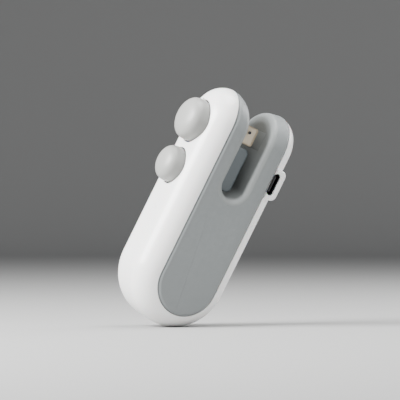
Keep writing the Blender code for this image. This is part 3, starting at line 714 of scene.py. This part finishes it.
class SEALER_OT_outer_shell(bpy.types.Operator):
    """Model the white shell, with its button bores and the boss for the port"""

    bl_idname = "sealer.outer_shell"
    bl_label = "Outer Shell"

    def execute(self, context):
        sizes = context.scene.sealer_sizes
        width = SHELL_HALF_WIDTH
        low = (SHELL_LOW.x, -width, 0.0)
        high = (SHELL_HIGH.x, width, TIP_Z)
        depth = high[0] - low[0]
        shell = pill("white_outer_shell", low, high, depth / 2, width, sizes.shell_round, sizes.arc_steps)
        wall = sizes.shell_wall
        room = pill("shell_room", (low[0] + wall, -width + wall, wall),
                    (high[0] - wall, width - wall, TIP_Z - wall), depth / 2 - wall, width - wall,
                    sizes.shell_round - wall, 16)
        combine(shell, room)
        combine(shell, case_tool("case_space", sizes.seam))
        with editing(shell, "VERT"):
            spring = TIP_Z - width
            pick(shell, "verts", lambda v: v.co.x > SLOT_X and v.co.z > spring)
            share = 1 - BACK_DROP / width
            bpy.ops.transform.resize(value=(1, 1, share), center_override=(SLOT_X, 0, spring))
        self.add_port_boss(shell, sizes)
        for low_corner, high_corner, height in ((SEAL_LOW, SEAL_HIGH, SEAL_Z), (CUT_LOW, CUT_HIGH, CUT_Z)):
            radius = (high_corner.z - low_corner.z) / 2 + sizes.button_gap
            bore = add_rod("button_bore", (SHELL_LOW.x, 0, height), radius, 0.012, "X", sides=96)
            combine(shell, bore)
        round_edges(shell, lambda e: sharper_than(e, 50) and self.near_bore(e),
                    sizes.edge_break, 2, merge=False)
        smooth(shell)
        weigh_normals(shell)
        finish_piece(shell, "housing", "white_shell", FINISHES["white_shell"], "outer_shell")
        return {"FINISHED"}

    @staticmethod
    def near_bore(edge):
        """True on the outer rim of either button bore."""
        place = middle(edge)
        for low, high, height in ((SEAL_LOW, SEAL_HIGH, SEAL_Z), (CUT_LOW, CUT_HIGH, CUT_Z)):
            reach = sqrt(place.y ** 2 + (place.z - height) ** 2)
            if abs(reach - (high.z - low.z) / 2) < 0.0008 and place.x < SHELL_LOW.x + 0.0048:
                return True
        return False

    @staticmethod
    def add_port_boss(shell, sizes):
        """Join the rounded boss to the back and cut the port's opening into it."""
        half = BOSS_HALF_LENGTH
        boss = add_block("port_boss", (CASE_HIGH.x + sizes.seam, SHELL_LOW.y, PORT_Z - half),
                         (SHELL_HIGH.x - BOSS_INSET, BOSS_ROOT_Y, PORT_Z + half))
        round_edges(boss, lambda e: runs_along(e, 1) and middle(e).x > PORT_X, 0.0024, 8)
        round_edges(boss, lambda e: sharper_than(e, 50) and middle(e).y < SHELL_LOW.y + SMALL, 0.0007, 4)
        combine(shell, boss, "UNION")
        combine(shell, port_tool("port_way", 0.00012, SHELL_LOW.y - 0.002, PORT_HIGH.y + 0.001))


def port_tool(name, grow, low_y, high_y):
    """A bar along Y with the rounded section of the port."""
    low = (PORT_LOW.x - grow, low_y, PORT_LOW.z - grow)
    high = (PORT_HIGH.x + grow, high_y, PORT_HIGH.z + grow)
    tool = add_block(name, low, high)
    return round_edges(tool, lambda e: runs_along(e, 1), (high[0] - low[0]) / 2 - TOUCH / 4, 10)


def case_moulding(name, sizes):
    """The case and its slot in one solid, before it is split into halves and liner."""
    width = CASE_HIGH.y
    body = add_block(name, (CASE_LOW.x, -width, CASE_LOW.z), (CASE_HIGH.x, width, TIP_Z))
    round_edges(body, lambda e: runs_along(e, 1) and middle(e).z < CASE_LOW.z + SMALL,
                CASE_R - TOUCH / 4, 32)
    round_edges(body, lambda e: runs_along(e, 0) and middle(e).z > TIP_Z - SMALL, width - TOUCH / 4, 26)
    combine(body, slot_tool("film_slot", SLOT_HALF))
    lower_tips(body, sizes.front_slope, sizes.back_slope)
    round_edges(body, lambda e: sharper_than(e, 50) and on_slot_rim(e), sizes.lip_fillet, 8, merge=False)
    round_edges(body, lambda e: sharper_than(e, 50) and on_outline(e), sizes.case_fillet, 6, merge=False)
    return body


def lower_tips(body, front_slope, back_slope):
    """Let each arm's arch fall towards the slot, the back one a little more."""
    spring = TIP_Z - CASE_HIGH.y
    arch = TIP_Z - spring
    for edge_x, drop, slope in ((CASE_LOW.x, 0.0, front_slope), (CASE_HIGH.x, BACK_DROP, back_slope)):
        wall_x = SLOT_X + SLOT_HALF * (1 if edge_x > SLOT_X else -1)
        shares = (0.0, 0.3, 0.62, 1.0)
        stations = [edge_x + (wall_x - edge_x) * share for share in shares]
        with editing(body, "FACE"):
            for x in stations[1:-1]:
                pick(body, "faces", lambda f: min(v.co.z for v in f.verts) > spring - SMALL)
                bpy.ops.mesh.bisect(plane_co=(x, 0, 0), plane_no=(1, 0, 0))
        with editing(body, "VERT"):
            for x, share in zip(stations, shares):
                pick(body, "verts", lambda v: abs(v.co.x - x) < SMALL and v.co.z > spring + SMALL)
                scale = (arch - drop - slope * share ** 2) / arch
                bpy.ops.transform.resize(value=(1, 1, scale), center_override=(x, 0, spring))


def on_slot_rim(edge):
    """True on the rims where the slot's wall meets the side faces and the tips."""
    place = middle(edge)
    if place.z > SLOT_ARC_Z:
        return abs(abs(place.x - SLOT_X) - SLOT_HALF) < TOUCH
    reach = sqrt((place.x - SLOT_X) ** 2 + (place.z - SLOT_ARC_Z) ** 2)
    return abs(reach - SLOT_HALF) < TOUCH * 3


def on_outline(edge):
    """True on the case's outline: its two long sides and its round lower end."""
    place = middle(edge)
    arc_z = CASE_LOW.z + CASE_R
    if place.z > arc_z:
        return min(abs(place.x - CASE_LOW.x), abs(place.x - CASE_HIGH.x)) < TOUCH
    reach = sqrt((place.x - CASE_X) ** 2 + (place.z - arc_z) ** 2)
    return abs(reach - CASE_R) < TOUCH * 3


class SEALER_OT_case_halves(bpy.types.Operator):
    """Model the two halves of the grey case, with their slot and soft edges"""

    bl_idname = "sealer.case_halves"
    bl_label = "Case Halves"

    def execute(self, context):
        sizes = context.scene.sealer_sizes
        for side, node in ((-1, "near_case_half"), (1, "far_case_half")):
            half = case_moulding("grey_case_near" if side < 0 else "grey_case_far", sizes)
            combine(half, slot_tool("liner_space", LINER_HALF + sizes.joint))
            inner, outer = sorted((-side * THROUGH, side * sizes.joint))
            other = add_block("other_half", (CASE_LOW.x - CLEAR, inner, -CLEAR),
                              (CASE_HIGH.x + CLEAR, outer, TIP_Z + CLEAR))
            combine(half, other)
            self.hollow_out(half, side)
            with editing(half, "FACE"):
                pick(half, "faces", lambda f: abs(f.normal.y) > 0.999)
                bpy.ops.mesh.dissolve_limited(angle_limit=radians(1.5))
            smooth(half)
            weigh_normals(half)
            finish_piece(half, "housing", "grey_case", FINISHES["grey_case"], node)
        return {"FINISHED"}

    @staticmethod
    def hollow_out(half, side):
        """The room inside, with a post for each screw and a round hole for each bush."""
        wall = CASE_WALL
        reach = CASE_HIGH.y - wall
        inner, outer = sorted((-side * 0.001, side * reach))
        room = add_block("case_room", (CASE_LOW.x + wall, inner, CASE_LOW.z + wall),
                         (CASE_HIGH.x - wall, outer, ROOM_TOP_Z))
        round_edges(room, lambda e: runs_along(e, 1) and middle(e).z < CASE_LOW.z + wall + SMALL,
                    CASE_R - wall - TOUCH / 4, 20)
        combine(half, room)
        for index in range(1, 5):
            low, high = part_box(f"case_screw_{index}")
            centre = (low + high) / 2
            head_r = (high.z - low.z) / 2
            post = add_rod("screw_post", (centre.x, side * (reach + 0.0008) / 2, centre.z),
                           head_r + POST_WALL, reach + 0.0002, "Y", sides=32)
            combine(half, post, "UNION")
            way = add_rod("screw_way", (centre.x, side * 0.003, centre.z),
                          head_r * SHANK_SHARE + 0.0002, 0.0155, "Y", sides=24)
            combine(half, way)
            if side > 0:
                seat = add_rod("screw_seat", (centre.x, high.y + 0.0013, centre.z),
                               head_r + 0.0003, 0.0064, "Y", sides=32)
                combine(half, seat)
        for height in (SEAL_Z, CUT_Z):
            bush = add_rod("bush_way", (CASE_LOW.x, 0, height), BUSH_WAY_R, 0.006, "X", sides=32)
            combine(half, bush)


class SEALER_OT_slot_liner(bpy.types.Operator):
    """Model the soft lip that lines the slot"""

    bl_idname = "sealer.slot_liner"
    bl_label = "Slot Liner"

    def execute(self, context):
        sizes = context.scene.sealer_sizes
        liner = case_moulding("slot_lip", sizes)
        combine(liner, slot_tool("liner_shape", LINER_HALF), "INTERSECT")
        for height, radius in LINER_HOLES:
            hole = add_rod("stem_hole", (SLOT_X - 0.0065, 0, height), radius, 0.011, "X", sides=32)
            combine(liner, hole)
        gap = Vector((TOUCH / 2, TOUCH / 2, TOUCH / 2))
        pocket = add_block("pad_pocket", ANVIL_LOW - gap, ANVIL_HIGH + gap)
        combine(liner, pocket)
        smooth(liner)
        weigh_normals(liner)
        finish_piece(liner, "housing", "lip", FINISHES["lip"], "slot_liner")
        return {"FINISHED"}


# ----------------------------------------------------------------- buttons

class SEALER_OT_button_caps(bpy.types.Operator):
    """Model the two domed button caps"""

    bl_idname = "sealer.button_caps"
    bl_label = "Button Caps"

    def execute(self, context):
        self.make_cap("large_button", SEAL_LOW, SEAL_HIGH, "seal_head", "seal_button_cap")
        self.make_cap("small_button", CUT_LOW, CUT_HIGH, "cutter", "cut_button_cap")
        return {"FINISHED"}

    @staticmethod
    def make_cap(name, low, high, body, node):
        """One cap: a rod drawn in towards its top, domed, and hollowed from below."""
        radius = (high.z - low.z) / 2
        height = (high.z + low.z) / 2
        foot, top = high.x, low.x
        reach = SHELL_LOW.x - top
        cap = add_rod(name, ((foot + top) / 2, 0, height), radius, foot - top, "X", sides=96)
        shoulder_x = SHELL_LOW.x - reach * 0.20
        dome = shoulder_x - top
        rings, bluntness = 16, 2 / 2.5
        with editing(cap, "FACE"):
            pick(cap, "faces", lambda f: len(f.verts) > 4 and middle(f).x < top + SMALL)
            bpy.ops.transform.translate(value=(dome, 0, 0))
            last_x, last_r = shoulder_x, radius
            for i in range(1, rings):
                angle = pi / 2 * i / rings
                next_x = shoulder_x - dome * sin(angle) ** bluntness
                next_r = radius * cos(angle) ** bluntness
                bpy.ops.mesh.extrude_region_move(
                    TRANSFORM_OT_translate={"value": (next_x - last_x, 0, 0)})
                bpy.ops.transform.resize(value=(1, next_r / last_r, next_r / last_r),
                                         center_override=(next_x, 0, height))
                last_x, last_r = next_x, next_r
            bpy.ops.mesh.extrude_region_move(TRANSFORM_OT_translate={"value": (top - last_x, 0, 0)})
            bpy.ops.mesh.merge(type="CENTER")
        with editing(cap, "FACE"):
            pick(cap, "faces", lambda f: len(f.verts) > 4 and middle(f).x > foot - SMALL)
            bpy.ops.mesh.inset(thickness=CAP_WALL, depth=0.0)
            depth = foot - (SHELL_LOW.x - reach * 0.45)
            bpy.ops.mesh.extrude_region_move(TRANSFORM_OT_translate={"value": (-depth, 0, 0)})
            bpy.ops.transform.resize(value=(1, 0.94, 0.94), center_override=(foot, 0, height))
        smooth(cap, 40)
        return finish_piece(cap, body, "button", FINISHES["button"], node)


# -------------------------------------------------------- inside the slot

class SEALER_OT_blade_guard(bpy.types.Operator):
    """Model the dark bar that hides the blade"""

    bl_idname = "sealer.blade_guard"
    bl_label = "Blade Guard"

    def execute(self, context):
        guard = add_block("guard_bar", GUARD_LOW, GUARD_HIGH)
        round_edges(guard, lambda e: runs_along(e, 1) and middle(e).x > SLOT_X, 0.0026, 10)
        round_edges(guard, lambda e: runs_along(e, 1) and middle(e).z < GUARD_LOW.z + SMALL
                    and middle(e).x < GUARD_LOW.x + SMALL, 0.0024, 10)
        round_edges(guard, lambda e: sharper_than(e, 60) and abs(middle(e).y) > GUARD_HIGH.y - SMALL,
                    0.0008, 5, merge=False)
        room = add_block("guard_room", (GUARD_LOW.x - 0.003, GUARD_LOW.y + 0.0012, GUARD_LOW.z + 0.0013),
                         (GUARD_HIGH.x - 0.001, GUARD_HIGH.y - 0.0012, GUARD_HIGH.z - 0.0022))
        combine(guard, room)
        blade_low, blade_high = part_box("cutter_blade")
        slit = add_block("blade_slit", (blade_high.x - 0.003, blade_low.y - 0.0008, blade_low.z - 0.00035),
                         (GUARD_HIGH.x + 0.002, blade_high.y + 0.0008, blade_high.z + 0.00035))
        combine(guard, slit)
        for height, radius in GUARD_HOLES:
            hole = add_rod("stem_way", (GUARD_LOW.x, 0, height), radius, 0.0096, "X", sides=32)
            combine(guard, hole)
        smooth(guard)
        weigh_normals(guard)
        finish_piece(guard, "housing", "guard", FINISHES["guard"], "blade_guard")
        return {"FINISHED"}


class SEALER_OT_heater(bpy.types.Operator):
    """Model the heater: its cloth cover, the block under it and the rivet"""

    bl_idname = "sealer.heater"
    bl_label = "Heater"

    def execute(self, context):
        cloth = 0.0003
        cover = add_block("cloth_cover", CLOTH_LOW, CLOTH_HIGH)
        round_edges(cover, lambda e: runs_along(e, 1) and middle(e).x > SLOT_X, 0.0009, 6)
        core_low = Vector((CLOTH_LOW.x - 0.001, -0.02, CLOTH_LOW.z + cloth))
        core_high = Vector((CLOTH_HIGH.x - cloth, 0.02, CLOTH_HIGH.z - cloth))
        core = add_block("cover_space", core_low, core_high)
        round_edges(core, lambda e: runs_along(e, 1) and middle(e).x > SLOT_X, 0.0007, 6)
        combine(cover, core)
        smooth(cover)
        finish_piece(cover, "seal_head", "glass_cloth", FINISHES["glass_cloth"], "heater_cloth")
        self.make_block()
        self.make_rivet()
        return {"FINISHED"}

    @staticmethod
    def make_block():
        """The moulded block that fills the cover, with a step at each end."""
        low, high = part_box("heater_carrier")
        block = add_block("heater_block", (low.x, low.y, CLOTH_LOW.z + 0.00034),
                          (CLOTH_HIGH.x - 0.00034, high.y, CLOTH_HIGH.z - 0.00034))
        round_edges(block, lambda e: runs_along(e, 1) and middle(e).x > SLOT_X, 0.0006, 4)
        with editing(block, "FACE"):
            pick(block, "faces", lambda f: abs(f.normal.y) > 0.9)
            bpy.ops.mesh.inset(thickness=0.0005, depth=-0.00025)
        round_edges(block, lambda e: sharper_than(e, 50), 0.0001, 2, merge=False)
        smooth(block)
        finish_piece(block, "seal_head", "ceramic", FINISHES["ceramic"],
                     "heater_carrier", "heating_element")

    @staticmethod
    def make_rivet():
        """The small dark rivet on the heater's near end."""
        low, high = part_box("heater_rivet")
        centre = (low + high) / 2
        rivet = add_rod("heater_stud", (centre.x, centre.y, centre.z), (high.z - low.z) * 0.34,
                        high.y - low.y, "Y", sides=32)
        round_edges(rivet, lambda e: sharper_than(e, 60) and middle(e).y < centre.y, 0.0003, 4, merge=False)
        smooth(rivet)
        finish_piece(rivet, "seal_head", "dark_steel", FINISHES["dark_steel"], "heater_rivet")


class SEALER_OT_anvil(bpy.types.Operator):
    """Model the silicone pad that the heater presses the film against"""

    bl_idname = "sealer.anvil"
    bl_label = "Anvil Pad"

    def execute(self, context):
        flush = (SLOT_X + SLOT_HALF - 0.00005, ANVIL_LOW.y, ANVIL_LOW.z)
        pad = add_block("silicone_pad", flush, ANVIL_HIGH)
        round_edges(pad, lambda e: sharper_than(e, 30), 0.0002, 3, merge=False)
        smooth(pad)
        finish_piece(pad, "housing", "silicone", FINISHES["silicone"], "anvil_pad")
        return {"FINISHED"}


# ------------------------------------------------------ port and fasteners

class SEALER_OT_port(bpy.types.Operator):
    """Model the charging port's metal sleeve and its contact tongue"""

    bl_idname = "sealer.port"
    bl_label = "Charging Port"

    def execute(self, context):
        sleeve = port_tool("port_sleeve", 0.0, PORT_LOW.y, PORT_HIGH.y)
        combine(sleeve, port_tool("port_room", -0.0003, PORT_LOW.y - 0.002, PORT_HIGH.y - 0.0006))
        round_edges(sleeve, lambda e: sharper_than(e, 60) and middle(e).y < PORT_LOW.y + SMALL, 0.0001, 2,
                    merge=False)
        smooth(sleeve)
        finish_piece(sleeve, "housing", "dark_steel", FINISHES["dark_steel"], "usb_receptacle")
        tongue = add_block("port_tongue", TONGUE_LOW, TONGUE_HIGH)
        round_edges(tongue, lambda e: sharper_than(e, 60) and middle(e).y < TONGUE_LOW.y + SMALL, 0.0002, 3,
                    merge=False)
        smooth(tongue)
        finish_piece(tongue, "housing", "dark_nylon", FINISHES["dark_nylon"], "usb_tongue")
        self.make_contacts()
        return {"FINISHED"}

    @staticmethod
    def make_contacts():
        """The row of contact strips on the tongue's two faces, joined into one piece."""
        count, pitch = 8, 0.0007
        strips = []
        for face_x, side in ((TONGUE_LOW.x, -1), (TONGUE_HIGH.x, 1)):
            for i in range(count):
                z = PORT_Z + (i - (count - 1) / 2) * pitch
                low = (min(face_x, face_x + side * 0.00006), TONGUE_LOW.y + 0.0004, z - 0.00014)
                high = (max(face_x, face_x + side * 0.00006), TONGUE_HIGH.y - 0.0008, z + 0.00014)
                strips.append(add_block("contact_strip", low, high))
        deselect_everything()
        for strip in strips:
            strip.select_set(True)
        bpy.context.view_layer.objects.active = strips[0]
        bpy.ops.object.join()
        contacts = settle(strips[0], "port_contacts")
        finish_piece(contacts, "housing", "brass", FINISHES["brass"])


class SEALER_OT_screws(bpy.types.Operator):
    """Model the four case screws with cross recesses in their heads"""

    bl_idname = "sealer.screws"
    bl_label = "Case Screws"

    def execute(self, context):
        for index in range(1, 5):
            node = f"case_screw_{index}"
            low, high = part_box(node)
            screw = self.make_screw(f"screw_{index}", low, high)
            finish_piece(screw, "housing", "steel", FINISHES["steel"], node)
        return {"FINISHED"}

    @staticmethod
    def make_screw(name, low, high):
        """One screw: a rod, a wider domed head and a cross cut into it."""
        centre = (low + high) / 2
        head_r = (high.z - low.z) / 2
        shank_r, head_depth = head_r * SHANK_SHARE, SCREW_HEAD_DEPTH
        screw = add_rod(name, (centre.x, (low.y + high.y - head_depth) / 2, centre.z), shank_r,
                        high.y - head_depth - low.y, "Y", sides=24)
        with editing(screw, "FACE"):
            pick(screw, "faces", lambda f: f.normal.y > 0.9 and len(f.verts) > 4)
            bpy.ops.mesh.extrude_region_move(TRANSFORM_OT_translate={"value": (0, 0, 0)})
            scale = head_r / shank_r
            bpy.ops.transform.resize(value=(scale, 1, scale), center_override=centre)
            bpy.ops.mesh.extrude_region_move(TRANSFORM_OT_translate={"value": (0, head_depth, 0)})
        top = high.y
        round_edges(screw, lambda e: sharper_than(e, 60) and middle(e).y > top - SMALL,
                    0.0004, 4, merge=False)
        for x_half, z_half in ((head_r * 0.6, head_r * 0.13), (head_r * 0.13, head_r * 0.6)):
            bar = add_block("cross_bar", (centre.x - x_half, top - 0.0007, centre.z - z_half),
                            (centre.x + x_half, top + 0.001, centre.z + z_half))
            combine(screw, bar)
        return smooth(screw)


class SEALER_OT_springs(bpy.types.Operator):
    """Model the two round-wire return springs, short enough to clear the bushes when pressed"""

    bl_idname = "sealer.springs"
    bl_label = "Return Springs"

    def execute(self, context):
        for node, body, height in (("seal_return_spring", "seal_head", SEAL_Z),
                                   ("cut_return_spring", "cutter", CUT_Z)):
            low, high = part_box(node)
            wire, turns = 0.0003, 5
            radius = (high.z - low.z) / 2 - wire
            deselect_everything()
            bpy.ops.mesh.primitive_circle_add(vertices=12, radius=wire, location=(0, 0, radius),
                                              rotation=(pi / 2, 0, 0))
            coil = settle(bpy.context.active_object, node.replace("return_spring", "coil"))
            steps = 30 * turns
            apply_modifier(coil, "SCREW", axis="X", angle=turns * 2 * pi, steps=steps, render_steps=steps,
                           screw_offset=high.x - low.x - 2 * wire - COIL_ROOM, merge_threshold=SMALL)
            coil.location = (low.x + wire, 0, height)
            settle(coil, coil.name)
            finish_piece(coil, body, "steel", FINISHES["steel"], node)
        return {"FINISHED"}


class SEALER_OT_inner_parts(bpy.types.Operator):
    """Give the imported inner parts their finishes"""

    bl_idname = "sealer.inner_parts"
    bl_label = "Inner Parts"

    def execute(self, context):
        slots = {part["node"]: part["material_slot"] for part in frame["record"]["subparts"]}
        for node, piece in frame["nodes"].items():
            piece.data.materials.clear()
            piece.data.materials.append(FINISHES[slots[node]])
        return {"FINISHED"}


# ------------------------------------------------------------------- stage

def camera_axes(stage):
    """The camera's facing, and the directions to its right, its top and behind it."""
    a, e = stage.azimuth, stage.elevation
    back = Vector((sin(a) * cos(e), -cos(a) * cos(e), sin(e)))
    facing = (-back).to_track_quat("-Z", "Y") @ Quaternion((0, 0, 1), stage.roll)
    return facing, facing @ Vector((1, 0, 0)), facing @ Vector((0, 1, 0)), back


class SEALER_OT_stage(bpy.types.Operator):
    """Set up the pale floor, the soft lights and the camera"""

    bl_idname = "sealer.stage"
    bl_label = "Stage"

    def execute(self, context):
        stage = context.scene.sealer_stage
        self.make_floor(stage)
        self.make_camera(context, stage)
        self.make_lights(context, stage)
        return {"FINISHED"}

    @staticmethod
    def make_floor(stage):
        """A wide floor that curves up into a wall, level across the camera's view."""
        _, _, up, _ = camera_axes(stage)
        shell = bpy.data.objects["white_outer_shell"]
        depth = min(v.co.dot(up) for v in shell.data.vertices)
        deselect_everything()
        flat, curve, steps = stage.floor_reach, 0.5, 12
        bpy.ops.mesh.primitive_circle_add(vertices=96, radius=flat, fill_type="NGON")
        floor = settle(bpy.context.active_object, "floor")
        with editing(floor, "EDGE"):
            bpy.ops.mesh.select_all(action="SELECT")
            radius, height = flat, 0.0
            for i in range(1, steps + 1):
                angle = pi / 2 * i / steps
                next_radius, next_height = flat + curve * sin(angle), curve * (1 - cos(angle))
                pick(floor, "edges", lambda e: len(e.link_faces) == 1)
                bpy.ops.mesh.extrude_edges_move(
                    TRANSFORM_OT_translate={"value": (0, 0, next_height - height)})
                share = next_radius / radius
                bpy.ops.transform.resize(value=(share, share, 1), center_override=(0, 0, 0))
                radius, height = next_radius, next_height
        floor.rotation_mode = "QUATERNION"
        floor.rotation_quaternion = up.to_track_quat("Z", "Y")
        floor.location = up * (depth - 0.00005)
        settle(floor, "floor")
        smooth(floor, 60)
        grey = stage.floor_grey
        floor.data.materials.append(plastic("floor_paper", (grey, grey, grey * 0.99), 0.85, mottle=0.004,
                                            grain=400.0, relief=0.00001, uneven=0.02))

    @staticmethod
    def make_camera(context, stage):
        """A long lens at the chosen azimuth, elevation and roll."""
        facing, right, up, back = camera_axes(stage)
        target = Vector((SLOT_X, 0, TIP_Z / 2)) - right * AIM_LEFT + up * AIM_UP
        data = bpy.data.cameras.new("camera")
        data.sensor_width = 36.0
        data.lens = stage.lens
        data.clip_start, data.clip_end = 0.01, 20.0
        camera = bpy.data.objects.new("camera", data)
        context.scene.collection.objects.link(camera)
        camera.rotation_mode = "QUATERNION"
        camera.rotation_quaternion = facing
        camera.location = target + back * stage.distance
        context.scene.camera = camera

    @staticmethod
    def make_lights(context, stage):
        """Large soft lights, placed by the camera's axes: to its right, upwards and towards it."""
        world = bpy.data.worlds.new("studio")
        world.use_nodes = True
        world.node_tree.nodes["Background"].inputs["Color"].default_value = (0.92, 0.95, 1.0, 1.0)
        world.node_tree.nodes["Background"].inputs["Strength"].default_value = stage.ambient
        context.scene.world = world
        _, right, up, back = camera_axes(stage)
        target = Vector((0, 0, TIP_Z / 2))
        lamps = (
            ("key", (-0.50, 0.36, 0.26), 0.4, stage.key_power),
            ("fill", (0.60, 0.23, 0.50), 0.45, stage.fill_power),
            ("overhead", (0.20, 0.65, 0.0), 0.4, stage.top_power),
            ("rim", (0.55, 0.30, -0.30), 0.4, stage.fill_power * 1.5),
        )
        for name, place, size, power in lamps:
            data = bpy.data.lights.new(name, "AREA")
            data.shape = "SQUARE"
            data.size = size
            data.energy = power
            lamp = bpy.data.objects.new(name, data)
            context.scene.collection.objects.link(lamp)
            lamp.location = target + right * place[0] + up * place[1] + back * place[2]
            lamp.rotation_mode = "QUATERNION"
            lamp.rotation_quaternion = (target - lamp.location).to_track_quat("-Z", "Y")


# ------------------------------------------------------------------- panel

PIECE_OPERATORS = (
    SEALER_OT_inner_parts,
    SEALER_OT_outer_shell,
    SEALER_OT_case_halves,
    SEALER_OT_slot_liner,
    SEALER_OT_button_caps,
    SEALER_OT_blade_guard,
    SEALER_OT_heater,
    SEALER_OT_anvil,
    SEALER_OT_port,
    SEALER_OT_screws,
    SEALER_OT_springs,
    SEALER_OT_stage,
)


class SEALER_PT_panel(bpy.types.Panel):
    """The sealer's settings and one button for each piece"""

    bl_idname = "SEALER_PT_panel"
    bl_label = "Bag Sealer"
    bl_space_type = "VIEW_3D"
    bl_region_type = "UI"
    bl_category = "Bag Sealer"

    def draw(self, context):
        scene = context.scene
        for settings in (scene.sealer_sizes, scene.sealer_colours, scene.sealer_stage):
            box = self.layout.box()
            for key in settings.__annotations__:
                box.prop(settings, key)
        for operator in PIECE_OPERATORS:
            self.layout.operator(operator.bl_idname)


CLASSES = (SealerSizes, SealerColours, SealerStage, *PIECE_OPERATORS, SEALER_PT_panel)


def register():
    """Add the classes and the scene's settings."""
    for item in CLASSES:
        bpy.utils.register_class(item)
    bpy.types.Scene.sealer_sizes = PointerProperty(type=SealerSizes)
    bpy.types.Scene.sealer_colours = PointerProperty(type=SealerColours)
    bpy.types.Scene.sealer_stage = PointerProperty(type=SealerStage)


def unregister():
    """Take the settings and the classes away again."""
    del bpy.types.Scene.sealer_stage
    del bpy.types.Scene.sealer_colours
    del bpy.types.Scene.sealer_sizes
    for item in reversed(CLASSES):
        bpy.utils.unregister_class(item)


def main():
    """Build every piece."""
    register()
    make_finishes(bpy.context.scene.sealer_colours)
    bpy.ops.sealer.inner_parts()
    bpy.ops.sealer.outer_shell()
    bpy.ops.sealer.case_halves()
    bpy.ops.sealer.slot_liner()
    bpy.ops.sealer.button_caps()
    bpy.ops.sealer.blade_guard()
    bpy.ops.sealer.heater()
    bpy.ops.sealer.anvil()
    bpy.ops.sealer.port()
    bpy.ops.sealer.screws()
    bpy.ops.sealer.springs()
    bpy.ops.sealer.stage()


if __name__ == "__main__":
    main()
